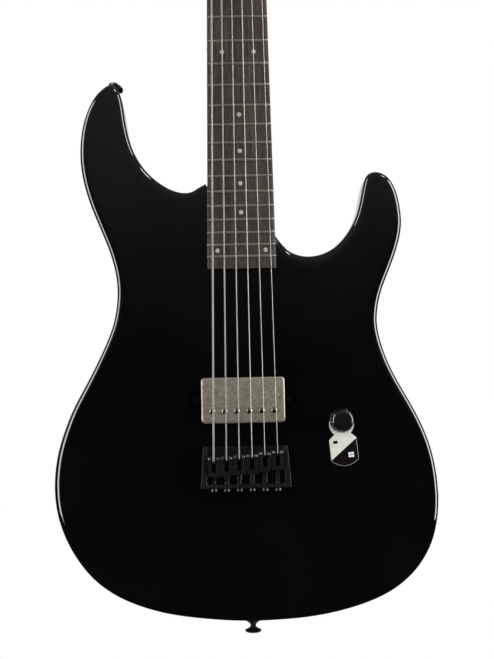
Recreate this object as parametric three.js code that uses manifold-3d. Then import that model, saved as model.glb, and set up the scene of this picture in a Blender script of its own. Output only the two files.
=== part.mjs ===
// A bolt-on, 24-fret electric guitar with one covered pickup, a fixed bridge with six saddles,
// a push-pull volume control and six sealed tuners in line.
//
// Millimetres. The origin is on the centre line, where the nut's face and the scale length start.
// +Z runs up the neck to the headstock, +X is the treble side and +Y points out of the back.
// The body's front face is the plane Y = 0.
import * as THREE from 'three';
import { mergeVertices } from 'three/addons/utils/BufferGeometryUtils.js';
import Module from 'manifold-3d';

const wasm = await Module();
wasm.setup();

// ---------------------------------------------------------------- driving dimensions
const GAP = 0.3; // clearance between pieces that touch
const SCALE_LENGTH = 648;
const STRINGS = 6;
const STRING_DIAMETERS = [1.52, 1.22, 0.91, 0.61, 0.41, 0.3]; // bass to treble
const NUT_PITCH = 7;
const SADDLE_PITCH = 10.5;

const BODY_THICKNESS = 44;
const BODY_EDGE_RADIUS = 4;

const BOARD_TOP = -9; // crown of the fretboard
const BOARD_THICKNESS = 6;
const BOARD_RADIUS = 400;
const BOARD_END = 496;
const NUT_WIDTH = 42;
const BOARD_END_WIDTH = 57;
const FRET_HEIGHT = 1.1;
const BOARD_BOTTOM = BOARD_TOP + BOARD_THICKNESS;

const NECK_TOP = BOARD_BOTTOM + GAP;
const NECK_SHOULDER = 2; // straight sides of the neck before its back rounds
const NECK_DEPTH_AT_NUT = 13.2;
const NECK_DEPTH_AT_HEEL = 14.8;
const HEEL_DEPTH = 18.4;
const HEEL_START = 430; // the heel squares off along a slanting line from the bass side
const HEEL_TREBLE_START = 472;
const HEEL_BLEND = { from: 408, to: 452 };
const HEEL_END = 493;
const HEEL_WIDTH = 56.4;
const POCKET_CLEARANCE = 0.4;

const ROD = { y: 4.3, radius: 2.8, threadRadius: 2, start: -430, shoulder: 434, length: 444 };
const ROD_NUT = { radius: 3.5, foot: 5.5, top: 23, threadEnd: 15, keyRadius: 2.2, keyFloor: 18 };
const ROD_CHANNEL = { halfWidth: 4, bottom: 8.2, top: 30, end: 440 };

const NUT_LENGTH = 5;
const HEAD_TILT = THREE.MathUtils.degToRad(11);
const HEAD_THICKNESS = 14.5;
const HEAD_START = NUT_LENGTH + GAP;

const TUNER_FIRST = 38; // distance of the first post from the start of the headstock
const TUNER_PITCH = 25.5;
const TUNER_HOLE = 4.9;
const POST_RADIUS = 3;
const POST_HEIGHT = 17;
const POST_STRING_HEIGHT = 9;
const WORM_RADIUS = 2.4;

const BRIDGE = { frontZ: -643, rearZ: -677, frontHalf: 34.4, rearHalf: 37.1, innerHalf: 32 };
const BRIDGE_FLOOR = 2.3;
const BRIDGE_WALL_TOP = -10.6;
const BRIDGE_REAR_WALL = 3;
const SADDLE = { width: 10, length: 17, bottom: -3.6, top: -13.3, slotHalf: 1.75 };
const SADDLE_CROWN = 2; // distance of the string's seat behind the saddle's front
const SADDLE_SETBACKS = [2.8, 2.2, 1.4, 0.8, -0.8, -2]; // beyond the scale length, bass to treble
const SADDLE_SLOT = { front: 4, rear: 13 };
const STRING_HOLE_Z = -657.6;
const SCREW_Y = -7.2;
const SCREW_RADIUS = 1.25;
const SCREW_GRIP = 3.4; // length of screw inside its saddle
const SCREW_HEAD = { radius: 2.6, height: 2.6, chamfer: 0.8 };

const PICKUP_X = -1.1; // the pickup sits a little off the strings' centre line
const PICKUP_Z = -605;
const PICKUP = { width: 69, height: 37.6, corner: 3, top: -5, bottom: 9.8, wall: 1.1 };
const PICKUP_LEG = { reach: 43, halfWidth: 5.5, top: 10.1, thickness: 1.4, screwX: 39.6 };
const PICKUP_CAVITY = { width: 71.2, height: 39.6, earReach: 44.6, earHeight: 14, floor: 22 };
const PICKUP_SCREW = { radius: 1.45, headRadius: 2.9, headHeight: 2.2, tip: 35 };

const KNOB_X = 80;
const KNOB_Z = -623.5;
const KNOB = { radius: 9.9, bottom: -1.6, top: -17.6, shoulder: 1.8, boreDepth: 12 };
const SHAFT_RADIUS = 3;
const POT = { bushing: 4.6, caseRadius: 12, caseTop: 7.6, caseBottom: 16.5 };
const SWITCH_BOX = { width: 15, height: 22, bottom: 34, wall: 1.5 };
const PLUNGER = { width: 9, height: 15, top: 25, thickness: 6 };
const CAVITY = { x0: 50, x1: 127, z0: -704, z1: -590, roof: 7, corner: 16 };
const COVER_LIP = 6;
const COVER_RECESS = 2.7;
const LABEL_TILT = THREE.MathUtils.degToRad(5.5);
const LABEL_THICKNESS = 0.9;
const LABEL = {
  shift: -0.9, ring: 10.3, ringZ: -3, waist: 0.255, half: 11.5, shoulder: -16, corner: -32.2,
  point: -38.8,
};

const JACK = { z: -687, y: 22, faceX: 159, recess: 2.4, bore: 11, thread: 4.7, hole: 3.3 };
const JACK_CASE = { radius: 8.5, length: 16, proud: 2.2 };
const JACK_PLATE = { width: 25, height: 38, corner: 5, thickness: 1.8 };

const STRAP_BUTTON = { base: 6, waist: 2.3, lip: 6.8, height: 11.6 };
const HORN_SEAT = {
  x: -107.7, y: 32, z: -338.4, direction: [0.412, 0.342, 0.8446], depth: 3.6, radius: 6.8,
};
const LOWER_BUTTON_X = 4;
const BODY_BOTTOM = -786.2;

// The outline at mid-thickness, anticlockwise from the tip of the upper horn as seen from the front.
const BODY_OUTLINE = [
  [-107.5, -337.4], [-114, -340.9], [-120.5, -347.4], [-127.6, -360.7], [-132.3, -378], [-133.7, -399],
  [-131.3, -418.6], [-125.6, -439], [-117.7, -459.3], [-109.9, -479.6], [-104.9, -499.9],
  [-104.2, -518], [-108.2, -541], [-118.5, -565.5], [-131, -589.4], [-142, -609.1],
  [-150.4, -628.7], [-156.4, -648.4], [-159.3, -671], [-157.9, -692.7], [-152.2, -712.5],
  [-141.8, -732.3], [-125.6, -751.5], [-103, -766.5], [-71.8, -777.7], [-40.4, -783.2],
  [-6.7, -786.1], [26, -785.8], [59.1, -782.7], [92.2, -775.1], [118.4, -764], [137.9, -748.4],
  [151.4, -728], [157.5, -707.2], [159.1, -687], [157.4, -664.6], [153.1, -644.6], [145.5, -624.6],
  [135.2, -604.5], [124.3, -584.3], [115.6, -562], [111.9, -541], [115.2, -519], [122.9, -499],
  [130.5, -479], [134.4, -460], [133.3, -443.2], [129.8, -429.3], [123, -418.9], [113.5, -415.3],
  [106.8, -418], [103.6, -425], [100.6, -438.5], [96.8, -452.2], [89.7, -465.6], [78.8, -477.8],
  [67, -484.1], [54.5, -485.7], [43.5, -483], [33.8, -476], [26, -463.5], [8, -441],
  [-14, -424], [-27.1, -420.4], [-36, -427.6], [-46.1, -430.4], [-57, -427.9], [-67.4, -421.8],
  [-76.8, -413.5], [-84.9, -402.5], [-91.2, -388.5], [-95.4, -369.5], [-98.2, -350.5],
  [-102.3, -341],
];
const OUTLINE_STEPS = 2; // straight pieces between two points of the outline

// Driving points of the two comfort contours: the line where each starts, and how it falls away.
const ARM_CONTOUR = { from: [-108.4, -530], to: [-84, -785], reach: 75, radius: 180 };
const BELLY_SCOOP = { x: -232, z: -503, rim: 146, depthRadius: 420 };

// ---------------------------------------------------------------- materials
const finish = (color, roughness, metalness) =>
  new THREE.MeshStandardMaterial({ color, roughness, metalness });
const GLOSS_BLACK = () => finish(0x050506, 0.06, 0);
const MAPLE = () => finish(0xc9a36b, 0.4, 0);
const DARK_WOOD = () => finish(0x3a302a, 0.6, 0);
const BONE = () => finish(0xded6c4, 0.45, 0);
const BLACK_METAL = () => finish(0x141416, 0.3, 0.8);
const BLACK_PLASTIC = () => finish(0x101010, 0.45, 0);
const STEEL = () => finish(0xb9bcc0, 0.3, 1);
const STRING_STEEL = () => finish(0xcfcabd, 0.3, 1);
const AGED_NICKEL = () => finish(0x98927f, 0.42, 0.9);
const BRASS = () => finish(0xb08d4a, 0.35, 1);

// ---------------------------------------------------------------- solids
function toSolid(geometry) {
  const bare = geometry.clone();
  bare.deleteAttribute('normal');
  bare.deleteAttribute('uv');
  const merged = mergeVertices(bare, 1e-4);
  return new wasm.Manifold(new wasm.Mesh({
    numProp: 3,
    vertProperties: new Float32Array(merged.attributes.position.array),
    triVerts: new Uint32Array(merged.index.array),
  }));
}

function toGeometry(solid) {
  const mesh = solid.getMesh();
  const geometry = new THREE.BufferGeometry();
  geometry.setAttribute('position', new THREE.BufferAttribute(mesh.vertProperties, 3));
  geometry.setIndex(new THREE.BufferAttribute(mesh.triVerts, 1));
  geometry.computeVertexNormals();
  return geometry;
}

const cut = (geometry, ...tools) =>
  toGeometry(tools.reduce((solid, tool) => solid.subtract(toSolid(tool)), toSolid(geometry)));
const join = (geometry, ...others) =>
  toGeometry(others.reduce((solid, other) => solid.add(toSolid(other)), toSolid(geometry)));
const common = (geometry, other) => toGeometry(toSolid(geometry).intersect(toSolid(other)));

function node(name, geometry, material, position = [0, 0, 0]) {
  const mesh = new THREE.Mesh(geometry, material);
  mesh.name = name;
  mesh.position.set(...position);
  return mesh;
}

function assembly(...children) {
  const group = new THREE.Group();
  group.add(...children);
  return group;
}

// ---------------------------------------------------------------- basic shapes
// A front-view outline (x, z) given thickness from y0 to y1, with an optional rounded edge.
function slab(shape, y0, y1, edge = 0, curveSegments = 2, bevelSegments = 2) {
  const geometry = new THREE.ExtrudeGeometry(shape, {
    depth: y1 - y0 - 2 * edge,
    bevelEnabled: edge > 0,
    bevelThickness: edge,
    bevelSize: edge,
    bevelOffset: -edge,
    bevelSegments,
    curveSegments,
  });
  return geometry.rotateX(Math.PI / 2).translate(0, y1 - edge, 0);
}

function polygon(points) {
  return new THREE.Shape(points.map(([x, z]) => new THREE.Vector2(x, z)));
}

function roundedRectangle(width, height, corner, x = 0, z = 0) {
  const halfWidth = width / 2;
  const halfHeight = height / 2;
  const shape = new THREE.Shape();
  shape.absarc(x + halfWidth - corner, z + halfHeight - corner, corner, 0, Math.PI / 2);
  shape.absarc(x - halfWidth + corner, z + halfHeight - corner, corner, Math.PI / 2, Math.PI);
  shape.absarc(x - halfWidth + corner, z - halfHeight + corner, corner, Math.PI, Math.PI * 1.5);
  shape.absarc(x + halfWidth - corner, z - halfHeight + corner, corner, Math.PI * 1.5, Math.PI * 2);
  shape.closePath();
  return shape;
}

function block(x0, x1, y0, y1, z0, z1) {
  return new THREE.BoxGeometry(x1 - x0, y1 - y0, z1 - z0)
    .translate((x0 + x1) / 2, (y0 + y1) / 2, (z0 + z1) / 2);
}

// A round bar between two points.
function bar(from, to, radius, sides = 12) {
  const start = new THREE.Vector3(...from);
  const end = new THREE.Vector3(...to);
  const direction = end.clone().sub(start);
  const turn = new THREE.Quaternion()
    .setFromUnitVectors(new THREE.Vector3(0, 1, 0), direction.clone().normalize());
  return new THREE.CylinderGeometry(radius, radius, direction.length(), sides)
    .applyQuaternion(turn)
    .translate(...start.add(end).multiplyScalar(0.5).toArray());
}

// A turned piece: [radius, distance] pairs along a direction, from the first face to the last.
function turned(profile, origin, direction, sides = 16) {
  const turn = new THREE.Quaternion()
    .setFromUnitVectors(new THREE.Vector3(0, 1, 0), new THREE.Vector3(...direction).normalize());
  return new THREE.LatheGeometry(profile.map(([r, d]) => new THREE.Vector2(r, d)), sides)
    .applyQuaternion(turn)
    .translate(...origin);
}

// A route through listed points, sampled at those points and nowhere else.
class PointRoute extends THREE.Curve {
  constructor(points) {
    super();
    this.points = points.map((point) => new THREE.Vector3(...point));
  }

  getPointAt(u) {
    const place = u * (this.points.length - 1);
    const index = Math.min(Math.floor(place), this.points.length - 2);
    return this.points[index].clone().lerp(this.points[index + 1], place - index);
  }

  getSpacedPoints() {
    return this.points;
  }

  getTangentAt(u) {
    const index = Math.round(u * (this.points.length - 1));
    const before = this.points[Math.max(index - 1, 0)];
    const here = this.points[index];
    const after = this.points[Math.min(index + 1, this.points.length - 1)];
    const incoming = here.clone().sub(before).normalize();
    const outgoing = after.clone().sub(here).normalize();
    return incoming.add(outgoing).normalize();
  }
}

// ---------------------------------------------------------------- shared places
const boardWidth = (distance) =>
  NUT_WIDTH + ((BOARD_END_WIDTH - NUT_WIDTH) * distance) / BOARD_END;
const stringAtNut = (index) => (index - (STRINGS - 1) / 2) * NUT_PITCH;
const stringAtSaddle = (index) => (index - (STRINGS - 1) / 2) * SADDLE_PITCH;
const saddleFront = (index) => -(SCALE_LENGTH + SADDLE_SETBACKS[index]);
const postX = (index) => stringAtNut(index) - POST_RADIUS - GAP - STRING_DIAMETERS[index] / 2;
const postZ = (index) => TUNER_FIRST + TUNER_PITCH * index;
const BRIDGE_FLOOR_TOP = -GAP - BRIDGE_FLOOR;
const ROW_ANGLE = Math.atan2(NUT_PITCH, TUNER_PITCH); // lean of the row of posts to the treble side

// The tilted headstock's own frame: its face is the plane Y = 0 and Z starts at the nut.
const HEAD_FRAME = new THREE.Matrix4()
  .makeTranslation(0, NECK_TOP, HEAD_START)
  .multiply(new THREE.Matrix4().makeRotationX(-HEAD_TILT));

function onHead(x, y, z) {
  return new THREE.Vector3(x, y, z).applyMatrix4(HEAD_FRAME).toArray();
}

function headGroup(...children) {
  const group = assembly(...children);
  group.applyMatrix4(HEAD_FRAME);
  return group;
}

// ---------------------------------------------------------------- body
function bodyOutline() {
  const points = BODY_OUTLINE.map(([x, z]) => new THREE.Vector3(x, z, 0));
  const curve = new THREE.CatmullRomCurve3(points, true, 'centripetal');
  const count = points.length * OUTLINE_STEPS;
  const outline = [];
  for (let i = 0; i < count; i += 1) {
    const point = curve.getPoint(i / count);
    outline.push([point.x, point.y]);
  }
  return polygon(outline);
}

// The forearm contour falls away from a straight line in a convex arc.
function armContourCutter() {
  const { from, to, reach, radius } = ARM_CONTOUR;
  const sweep = Math.asin(reach / radius);
  const steps = 7;
  const profile = [[0, 0]];
  for (let i = 1; i <= steps; i += 1) {
    const angle = (sweep * i) / steps;
    profile.push([radius * Math.sin(angle), radius * (1 - Math.cos(angle))]);
  }
  profile.push([reach, -1], [0, -1]);
  const shape = polygon(profile);
  const length = Math.hypot(to[0] - from[0], to[1] - from[1]);
  const lean = Math.atan2(to[0] - from[0], from[1] - to[1]);
  return new THREE.ExtrudeGeometry(shape, { depth: length, bevelEnabled: false })
    .rotateY(Math.PI)
    .rotateY(-lean)
    .translate(from[0], 0, from[1]);
}

// The belly scoop is the part of a large ball that reaches into the back.
function bellyScoopCutter() {
  const { x, z, rim, depthRadius } = BELLY_SCOOP;
  const height = Math.sqrt(depthRadius ** 2 - rim ** 2);
  const cap = Math.asin(rim / depthRadius);
  const rings = 6;
  const profile = [[0, depthRadius]];
  for (let i = 1; i <= rings; i += 1) {
    const angle = (cap * 1.05 * i) / rings;
    profile.push([depthRadius * Math.sin(angle), depthRadius * Math.cos(angle)]);
  }
  profile.push([0, profile[rings][1]]);
  return turned(profile.reverse(), [x, BODY_THICKNESS + height, z], [0, -1, 0], 40);
}

function pickupCavityCutters() {
  const { width, height, earReach, earHeight, floor } = PICKUP_CAVITY;
  const screws = [-1, 1].map((side) => bar(
    pickupScrewPoint(side, floor - 1),
    pickupScrewPoint(side, PICKUP_SCREW.tip + 4.5),
    PICKUP_SCREW.radius + 0.35,
    8,
  ));
  return [
    slab(roundedRectangle(width, height, 3.6, PICKUP_X, PICKUP_Z), -1, floor),
    slab(roundedRectangle(2 * earReach, earHeight, 5.5, PICKUP_X, PICKUP_Z), -1, floor),
    bar([30, 15, PICKUP_Z], [60, 16, KNOB_Z + 4], 3, 8),
    ...screws,
  ];
}

function cavityShape(grow) {
  const { x0, x1, z0, z1, corner } = CAVITY;
  const width = x1 - x0 + 2 * grow;
  const height = z1 - z0 + 2 * grow;
  return roundedRectangle(width, height, corner + grow, (x0 + x1) / 2, (z0 + z1) / 2);
}

function controlCavityCutters() {
  return [
    slab(cavityShape(0), CAVITY.roof, BODY_THICKNESS + 1),
    slab(cavityShape(COVER_LIP), BODY_THICKNESS - COVER_RECESS, BODY_THICKNESS + 1),
    bar([KNOB_X, -1, KNOB_Z], [KNOB_X, CAVITY.roof + 1, KNOB_Z], POT.bushing + GAP, 16),
  ];
}

function jackCutters() {
  const inner = JACK.faceX - JACK.recess;
  const recess = new THREE.ExtrudeGeometry(
    roundedRectangle(JACK_PLATE.height + 0.8, JACK_PLATE.width + 0.8, JACK_PLATE.corner),
    { depth: 10, bevelEnabled: false, curveSegments: 4 },
  ).rotateY(Math.PI / 2).translate(inner, JACK.y, JACK.z);
  return [
    recess,
    alongJack(CAVITY.x1 - 6, inner + 1, JACK.bore),
  ];
}

function stringHoleCutters() {
  const holes = [];
  for (let i = 0; i < STRINGS; i += 1) {
    const x = stringAtSaddle(i);
    holes.push(bar([x, -1, STRING_HOLE_Z], [x, BODY_THICKNESS + 1, STRING_HOLE_Z], 1.9, 8));
  }
  return holes;
}

function bodyNode() {
  const blank = slab(bodyOutline(), 0, BODY_THICKNESS, BODY_EDGE_RADIUS);
  const halfPocket = HEEL_WIDTH / 2 + POCKET_CLEARANCE;
  const pocketFloor = NECK_TOP + HEEL_DEPTH + GAP;
  const pocket = block(-halfPocket, halfPocket, -1, pocketFloor, -HEEL_END - POCKET_CLEARANCE, -400);
  return node('body', cut(
    blank,
    pocket,
    armContourCutter(),
    bellyScoopCutter(),
    ...pickupCavityCutters(),
    ...controlCavityCutters(),
    ...jackCutters(),
    ...stringHoleCutters(),
    bar(hornSeat(-HORN_SEAT.depth), hornSeat(6), HORN_SEAT.radius, 14),
  ), GLOSS_BLACK());
}

// ---------------------------------------------------------------- neck
function neckDepth(distance) {
  const towardHeel = THREE.MathUtils.clamp(distance / HEEL_BLEND.from, 0, 1);
  const shaft = THREE.MathUtils.lerp(NECK_DEPTH_AT_NUT, NECK_DEPTH_AT_HEEL, towardHeel);
  const blend = THREE.MathUtils.smoothstep(distance, HEEL_BLEND.from, HEEL_BLEND.to);
  return THREE.MathUtils.lerp(shaft, HEEL_DEPTH, blend);
}

function neckShaft() {
  const start = -HEEL_END + 5;
  const end = HEAD_START + 1.2;
  const shape = new THREE.Shape();
  shape.moveTo(-0.5, 0);
  shape.lineTo(-0.5, NECK_SHOULDER);
  shape.absellipse(0, NECK_SHOULDER, 0.5, NECK_DEPTH_AT_NUT - NECK_SHOULDER, Math.PI, 0, true);
  shape.lineTo(0.5, 0);
  const geometry = new THREE.ExtrudeGeometry(shape, {
    depth: end - start,
    steps: 28,
    bevelEnabled: false,
    curveSegments: 6,
  });
  const places = geometry.getAttribute('position');
  for (let i = 0; i < places.count; i += 1) {
    const z = start + places.getZ(i);
    places.setXYZ(
      i,
      places.getX(i) * boardWidth(-z),
      NECK_TOP + (places.getY(i) * neckDepth(-z)) / NECK_DEPTH_AT_NUT,
      z,
    );
  }
  return geometry;
}

function headOutline() {
  const shape = new THREE.Shape();
  shape.moveTo(-NUT_WIDTH / 2, -2);
  shape.lineTo(-NUT_WIDTH / 2, 3);
  shape.bezierCurveTo(-21.5, 12, -33, 12, -34.5, 24);
  shape.lineTo(0.5, 176);
  shape.bezierCurveTo(2.5, 185, 9, 190, 17, 189);
  shape.bezierCurveTo(27, 187.5, 33, 179, 31.5, 168);
  shape.bezierCurveTo(27, 132, 33, 82, 30, 42);
  shape.bezierCurveTo(28.5, 22, 21.5, 16, NUT_WIDTH / 2, 3);
  shape.lineTo(NUT_WIDTH / 2, -2);
  return shape;
}

function headBlank() {
  const holes = [];
  for (let i = 0; i < STRINGS; i += 1) {
    const x = postX(i);
    holes.push(bar([x, -1, postZ(i)], [x, HEAD_THICKNESS + 1, postZ(i)], TUNER_HOLE, 12));
  }
  const blank = slab(headOutline(), 0, HEAD_THICKNESS, 1.2, 6, 1);
  return cut(blank, ...holes).applyMatrix4(HEAD_FRAME);
}

function neckNode() {
  const halfHeel = HEEL_WIDTH / 2;
  const heelPlan = polygon([
    [-halfHeel, -HEEL_START], [-halfHeel, -HEEL_END], [halfHeel, -HEEL_END],
    [halfHeel, -HEEL_TREBLE_START],
  ]);
  const heel = slab(heelPlan, NECK_TOP, NECK_TOP + HEEL_DEPTH);
  const channel = block(
    -ROD_CHANNEL.halfWidth,
    ROD_CHANNEL.halfWidth,
    NECK_TOP - 1,
    ROD_CHANNEL.bottom,
    -ROD_CHANNEL.end,
    ROD_CHANNEL.top,
  );
  return node('neck', cut(join(neckShaft(), heel, headBlank()), channel), MAPLE());
}

function fretboardNode() {
  const start = boardWidth(0) / 2;
  const end = BOARD_END_WIDTH / 2;
  const plan = polygon([[-start, -GAP], [-end, -BOARD_END], [end, -BOARD_END], [start, -GAP]]);
  const reach = Math.asin((end + 2) / BOARD_RADIUS);
  const camber = new THREE.Shape();
  const centre = BOARD_TOP + BOARD_RADIUS;
  camber.absarc(0, centre, BOARD_RADIUS, -Math.PI / 2 - reach, -Math.PI / 2 + reach);
  camber.lineTo(end + 2, 0);
  camber.lineTo(-end - 2, 0);
  const bar = new THREE.ExtrudeGeometry(camber, {
    depth: BOARD_END + 2,
    bevelEnabled: false,
    curveSegments: 10,
  }).translate(0, 0, -BOARD_END - 1);
  return node('fretboard', common(slab(plan, BOARD_TOP - 1, BOARD_BOTTOM), bar), DARK_WOOD());
}

function stringNutHeight(index) {
  return BOARD_TOP - FRET_HEIGHT - 0.6 - STRING_DIAMETERS[index] / 2;
}

function nutNode() {
  const half = NUT_WIDTH / 2;
  const top = BOARD_TOP - FRET_HEIGHT - 1.6;
  const slots = [];
  for (let i = 0; i < STRINGS; i += 1) {
    const reach = STRING_DIAMETERS[i] / 2 + GAP;
    const x = stringAtNut(i);
    slots.push(block(x - reach, x + reach, top - 1, stringNutHeight(i) + reach + 0.2, -1, 6));
  }
  return node('nut', cut(block(-half, half, top, BOARD_BOTTOM, 0, NUT_LENGTH), ...slots), BONE());
}

function trussRodNodes() {
  const { y, radius, threadRadius, start, shoulder, length } = ROD;
  const rod = turned(
    [[0, 0], [radius, 0], [radius, shoulder], [threadRadius, shoulder],
      [threadRadius, length], [0, length]],
    [0, y, start],
    [0, 0, 1],
    10,
  );
  const { foot, top, threadEnd, keyRadius, keyFloor } = ROD_NUT;
  const rodNut = cut(
    bar([0, y, foot], [0, y, top], ROD_NUT.radius, 6),
    bar([0, y, foot - 1], [0, y, threadEnd], threadRadius + GAP, 10),
    bar([0, y, keyFloor], [0, y, top + 1], keyRadius, 6),
  );
  return [node('truss_rod', rod, STEEL()), node('truss_rod_nut', rodNut, BRASS())];
}

function trussRodCoverNode() {
  const shape = new THREE.Shape();
  shape.moveTo(-9, 3);
  shape.lineTo(9, 3);
  shape.bezierCurveTo(9, 14, 6.5, 18, 5.5, 28);
  shape.absarc(0, 28, 5.5, 0, Math.PI);
  shape.bezierCurveTo(-6.5, 18, -9, 14, -9, 3);
  return node('truss_rod_cover', slab(shape, -GAP - 1.8, -GAP), BLACK_PLASTIC());
}

// ---------------------------------------------------------------- tuners
// Each tuner's frame: the post's axis is Y, with Y = 0 on the headstock's back, -X points out
// to the button and Z runs along the row of posts.
const WORM_Z = -6.4;
const WORM_Y = 6.6;
const HOUSING_DEPTH = 12.6;

function tunerHousing() {
  const shape = roundedRectangle(18, 18, 3, -0.5, -1.6);
  const front = GAP;
  return cut(
    slab(shape, front, HOUSING_DEPTH, 1, 1, 1),
    bar([0, front - 1, 0], [0, 9, 0], POST_RADIUS + GAP, 10),
    bar([-12, WORM_Y, WORM_Z], [4, WORM_Y, WORM_Z], WORM_RADIUS + GAP, 8),
  );
}

function tunerPost() {
  const tip = -HEAD_THICKNESS - POST_HEIGHT;
  const wrap = -HEAD_THICKNESS - POST_STRING_HEIGHT;
  return turned(
    [[0, tip], [POST_RADIUS - 0.5, tip], [POST_RADIUS, tip + 0.5], [POST_RADIUS, wrap - 4],
      [POST_RADIUS - 0.5, wrap - 2], [POST_RADIUS - 0.5, wrap + 2], [POST_RADIUS, wrap + 4],
      [POST_RADIUS, 8.5], [0, 8.5]],
    [0, 0, 0],
    [0, 1, 0],
    10,
  );
}

function tunerButton() {
  const grip = new THREE.Shape();
  grip.moveTo(-17, -4);
  grip.bezierCurveTo(-18, -8, -20, -9.5, -24, -9.5);
  grip.bezierCurveTo(-30, -9.5, -32.5, -5, -32.5, 0);
  grip.bezierCurveTo(-32.5, 5, -30, 9.5, -24, 9.5);
  grip.bezierCurveTo(-20, 9.5, -18, 8, -17, 4);
  const blade = slab(grip, -3.5, 3.5, 1.5, 3, 1).translate(0, WORM_Y, WORM_Z);
  return join(bar([3, WORM_Y, WORM_Z], [-20, WORM_Y, WORM_Z], WORM_RADIUS, 8), blade);
}

function tunerGroup(index) {
  const number = index + 1;
  const group = assembly(
    node(`tuner_housing_${number}`, tunerHousing(), BLACK_METAL()),
    node(`tuner_post_${number}`, tunerPost(), BLACK_METAL()),
    node(`tuner_button_${number}`, tunerButton(), BLACK_METAL()),
  );
  group.position.set(postX(index), HEAD_THICKNESS, postZ(index));
  group.rotation.y = ROW_ANGLE;
  return group;
}

// ---------------------------------------------------------------- bridge
function bridgePlateNode() {
  const { frontZ, rearZ, frontHalf, rearHalf, innerHalf } = BRIDGE;
  const plan = [[-frontHalf, frontZ], [-rearHalf, rearZ], [rearHalf, rearZ], [frontHalf, frontZ]];
  const rearFace = rearZ + BRIDGE_REAR_WALL;
  const inside = [block(-innerHalf, innerHalf, -20, BRIDGE_FLOOR_TOP, rearFace, frontZ + 1)];
  for (let i = 0; i < STRINGS; i += 1) {
    const x = stringAtSaddle(i);
    inside.push(bar([x, -4, STRING_HOLE_Z], [x, 1, STRING_HOLE_Z], 2.3, 10));
    inside.push(bar([x, SCREW_Y, rearFace + 1], [x, SCREW_Y, rearZ - 1], SCREW_RADIUS + GAP, 8));
  }
  return node('bridge_plate', cut(slab(polygon(plan), BRIDGE_WALL_TOP, -GAP), ...inside), BLACK_METAL());
}

// A saddle's frame: X = 0 on its string, Z = 0 at its front, and Y as on the body.
function saddle() {
  const { width, length, bottom, top, slotHalf } = SADDLE;
  const profile = new THREE.Shape();
  profile.moveTo(0, bottom);
  profile.lineTo(0, top + 1.6);
  profile.quadraticCurveTo(-0.2, top, -SADDLE_CROWN, top);
  profile.lineTo(-5, top + 0.3);
  profile.lineTo(-length + 1, top + 2.4);
  profile.lineTo(-length, top + 3.2);
  profile.lineTo(-length, bottom);
  const blank = new THREE.ExtrudeGeometry(profile, {
    depth: width,
    bevelEnabled: false,
    curveSegments: 3,
  }).rotateY(-Math.PI / 2).translate(width / 2, 0, 0);
  return cut(
    blank,
    block(-slotHalf, slotHalf, -20, 0, -SADDLE_SLOT.rear, -SADDLE_SLOT.front),
    bar([0, SCREW_Y, -length - 1], [0, SCREW_Y, -SADDLE_SLOT.rear + 1], SCREW_RADIUS + GAP, 8),
  );
}

function saddleNode(index) {
  const place = [stringAtSaddle(index), 0, saddleFront(index)];
  return node(`saddle_${index + 1}`, saddle(), BLACK_METAL(), place);
}

function intonationScrewNode(index) {
  const rear = BRIDGE.rearZ - GAP;
  const tip = saddleFront(index) - SADDLE.length + SCREW_GRIP;
  const { radius, height, chamfer } = SCREW_HEAD;
  const length = height + tip - rear;
  const profile = [
    [0, 0], [radius - chamfer, 0], [radius, chamfer], [radius, height], [SCREW_RADIUS, height],
    [SCREW_RADIUS, length], [0, length],
  ];
  const origin = [stringAtSaddle(index), SCREW_Y, rear - height];
  return node(`intonation_screw_${index + 1}`, turned(profile, origin, [0, 0, 1], 10), STEEL());
}

// ---------------------------------------------------------------- strings
function stringNode(index) {
  const radius = STRING_DIAMETERS[index] / 2;
  const lift = radius + GAP + 0.05;
  const x = stringAtSaddle(index);
  const seat = SADDLE.top - lift;
  const corner = saddleFront(index) - SADDLE_SLOT.front; // the string bends down over this edge
  const nutX = stringAtNut(index);
  const nutY = stringNutHeight(index);
  const route = [
    [x, BODY_THICKNESS - 7, STRING_HOLE_Z],
    [x, BRIDGE_FLOOR_TOP, STRING_HOLE_Z],
    [x, SADDLE.top + 0.3, corner - lift],
    [x, SADDLE.top + 0.3 - lift * Math.SQRT1_2, corner - lift * Math.SQRT1_2],
    [x, seat, corner + 0.2],
    [nutX, nutY, 0],
    [nutX, nutY, NUT_LENGTH - 1],
    onHead(nutX, -POST_STRING_HEIGHT, postZ(index)),
  ];
  const ring = new THREE.Shape();
  ring.absarc(0, 0, radius, 0, Math.PI * 2);
  const tube = new THREE.ExtrudeGeometry(ring, {
    extrudePath: new PointRoute(route),
    steps: route.length - 1,
    curveSegments: 3,
  });
  return node(`string_${index + 1}`, tube, STRING_STEEL());
}

// ---------------------------------------------------------------- pickup
// A point on the axis of a height screw; side is -1 for the bass one and 1 for the treble one.
function pickupScrewPoint(side, depth) {
  return [PICKUP_X + side * PICKUP_LEG.screwX, depth, PICKUP_Z];
}

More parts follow.
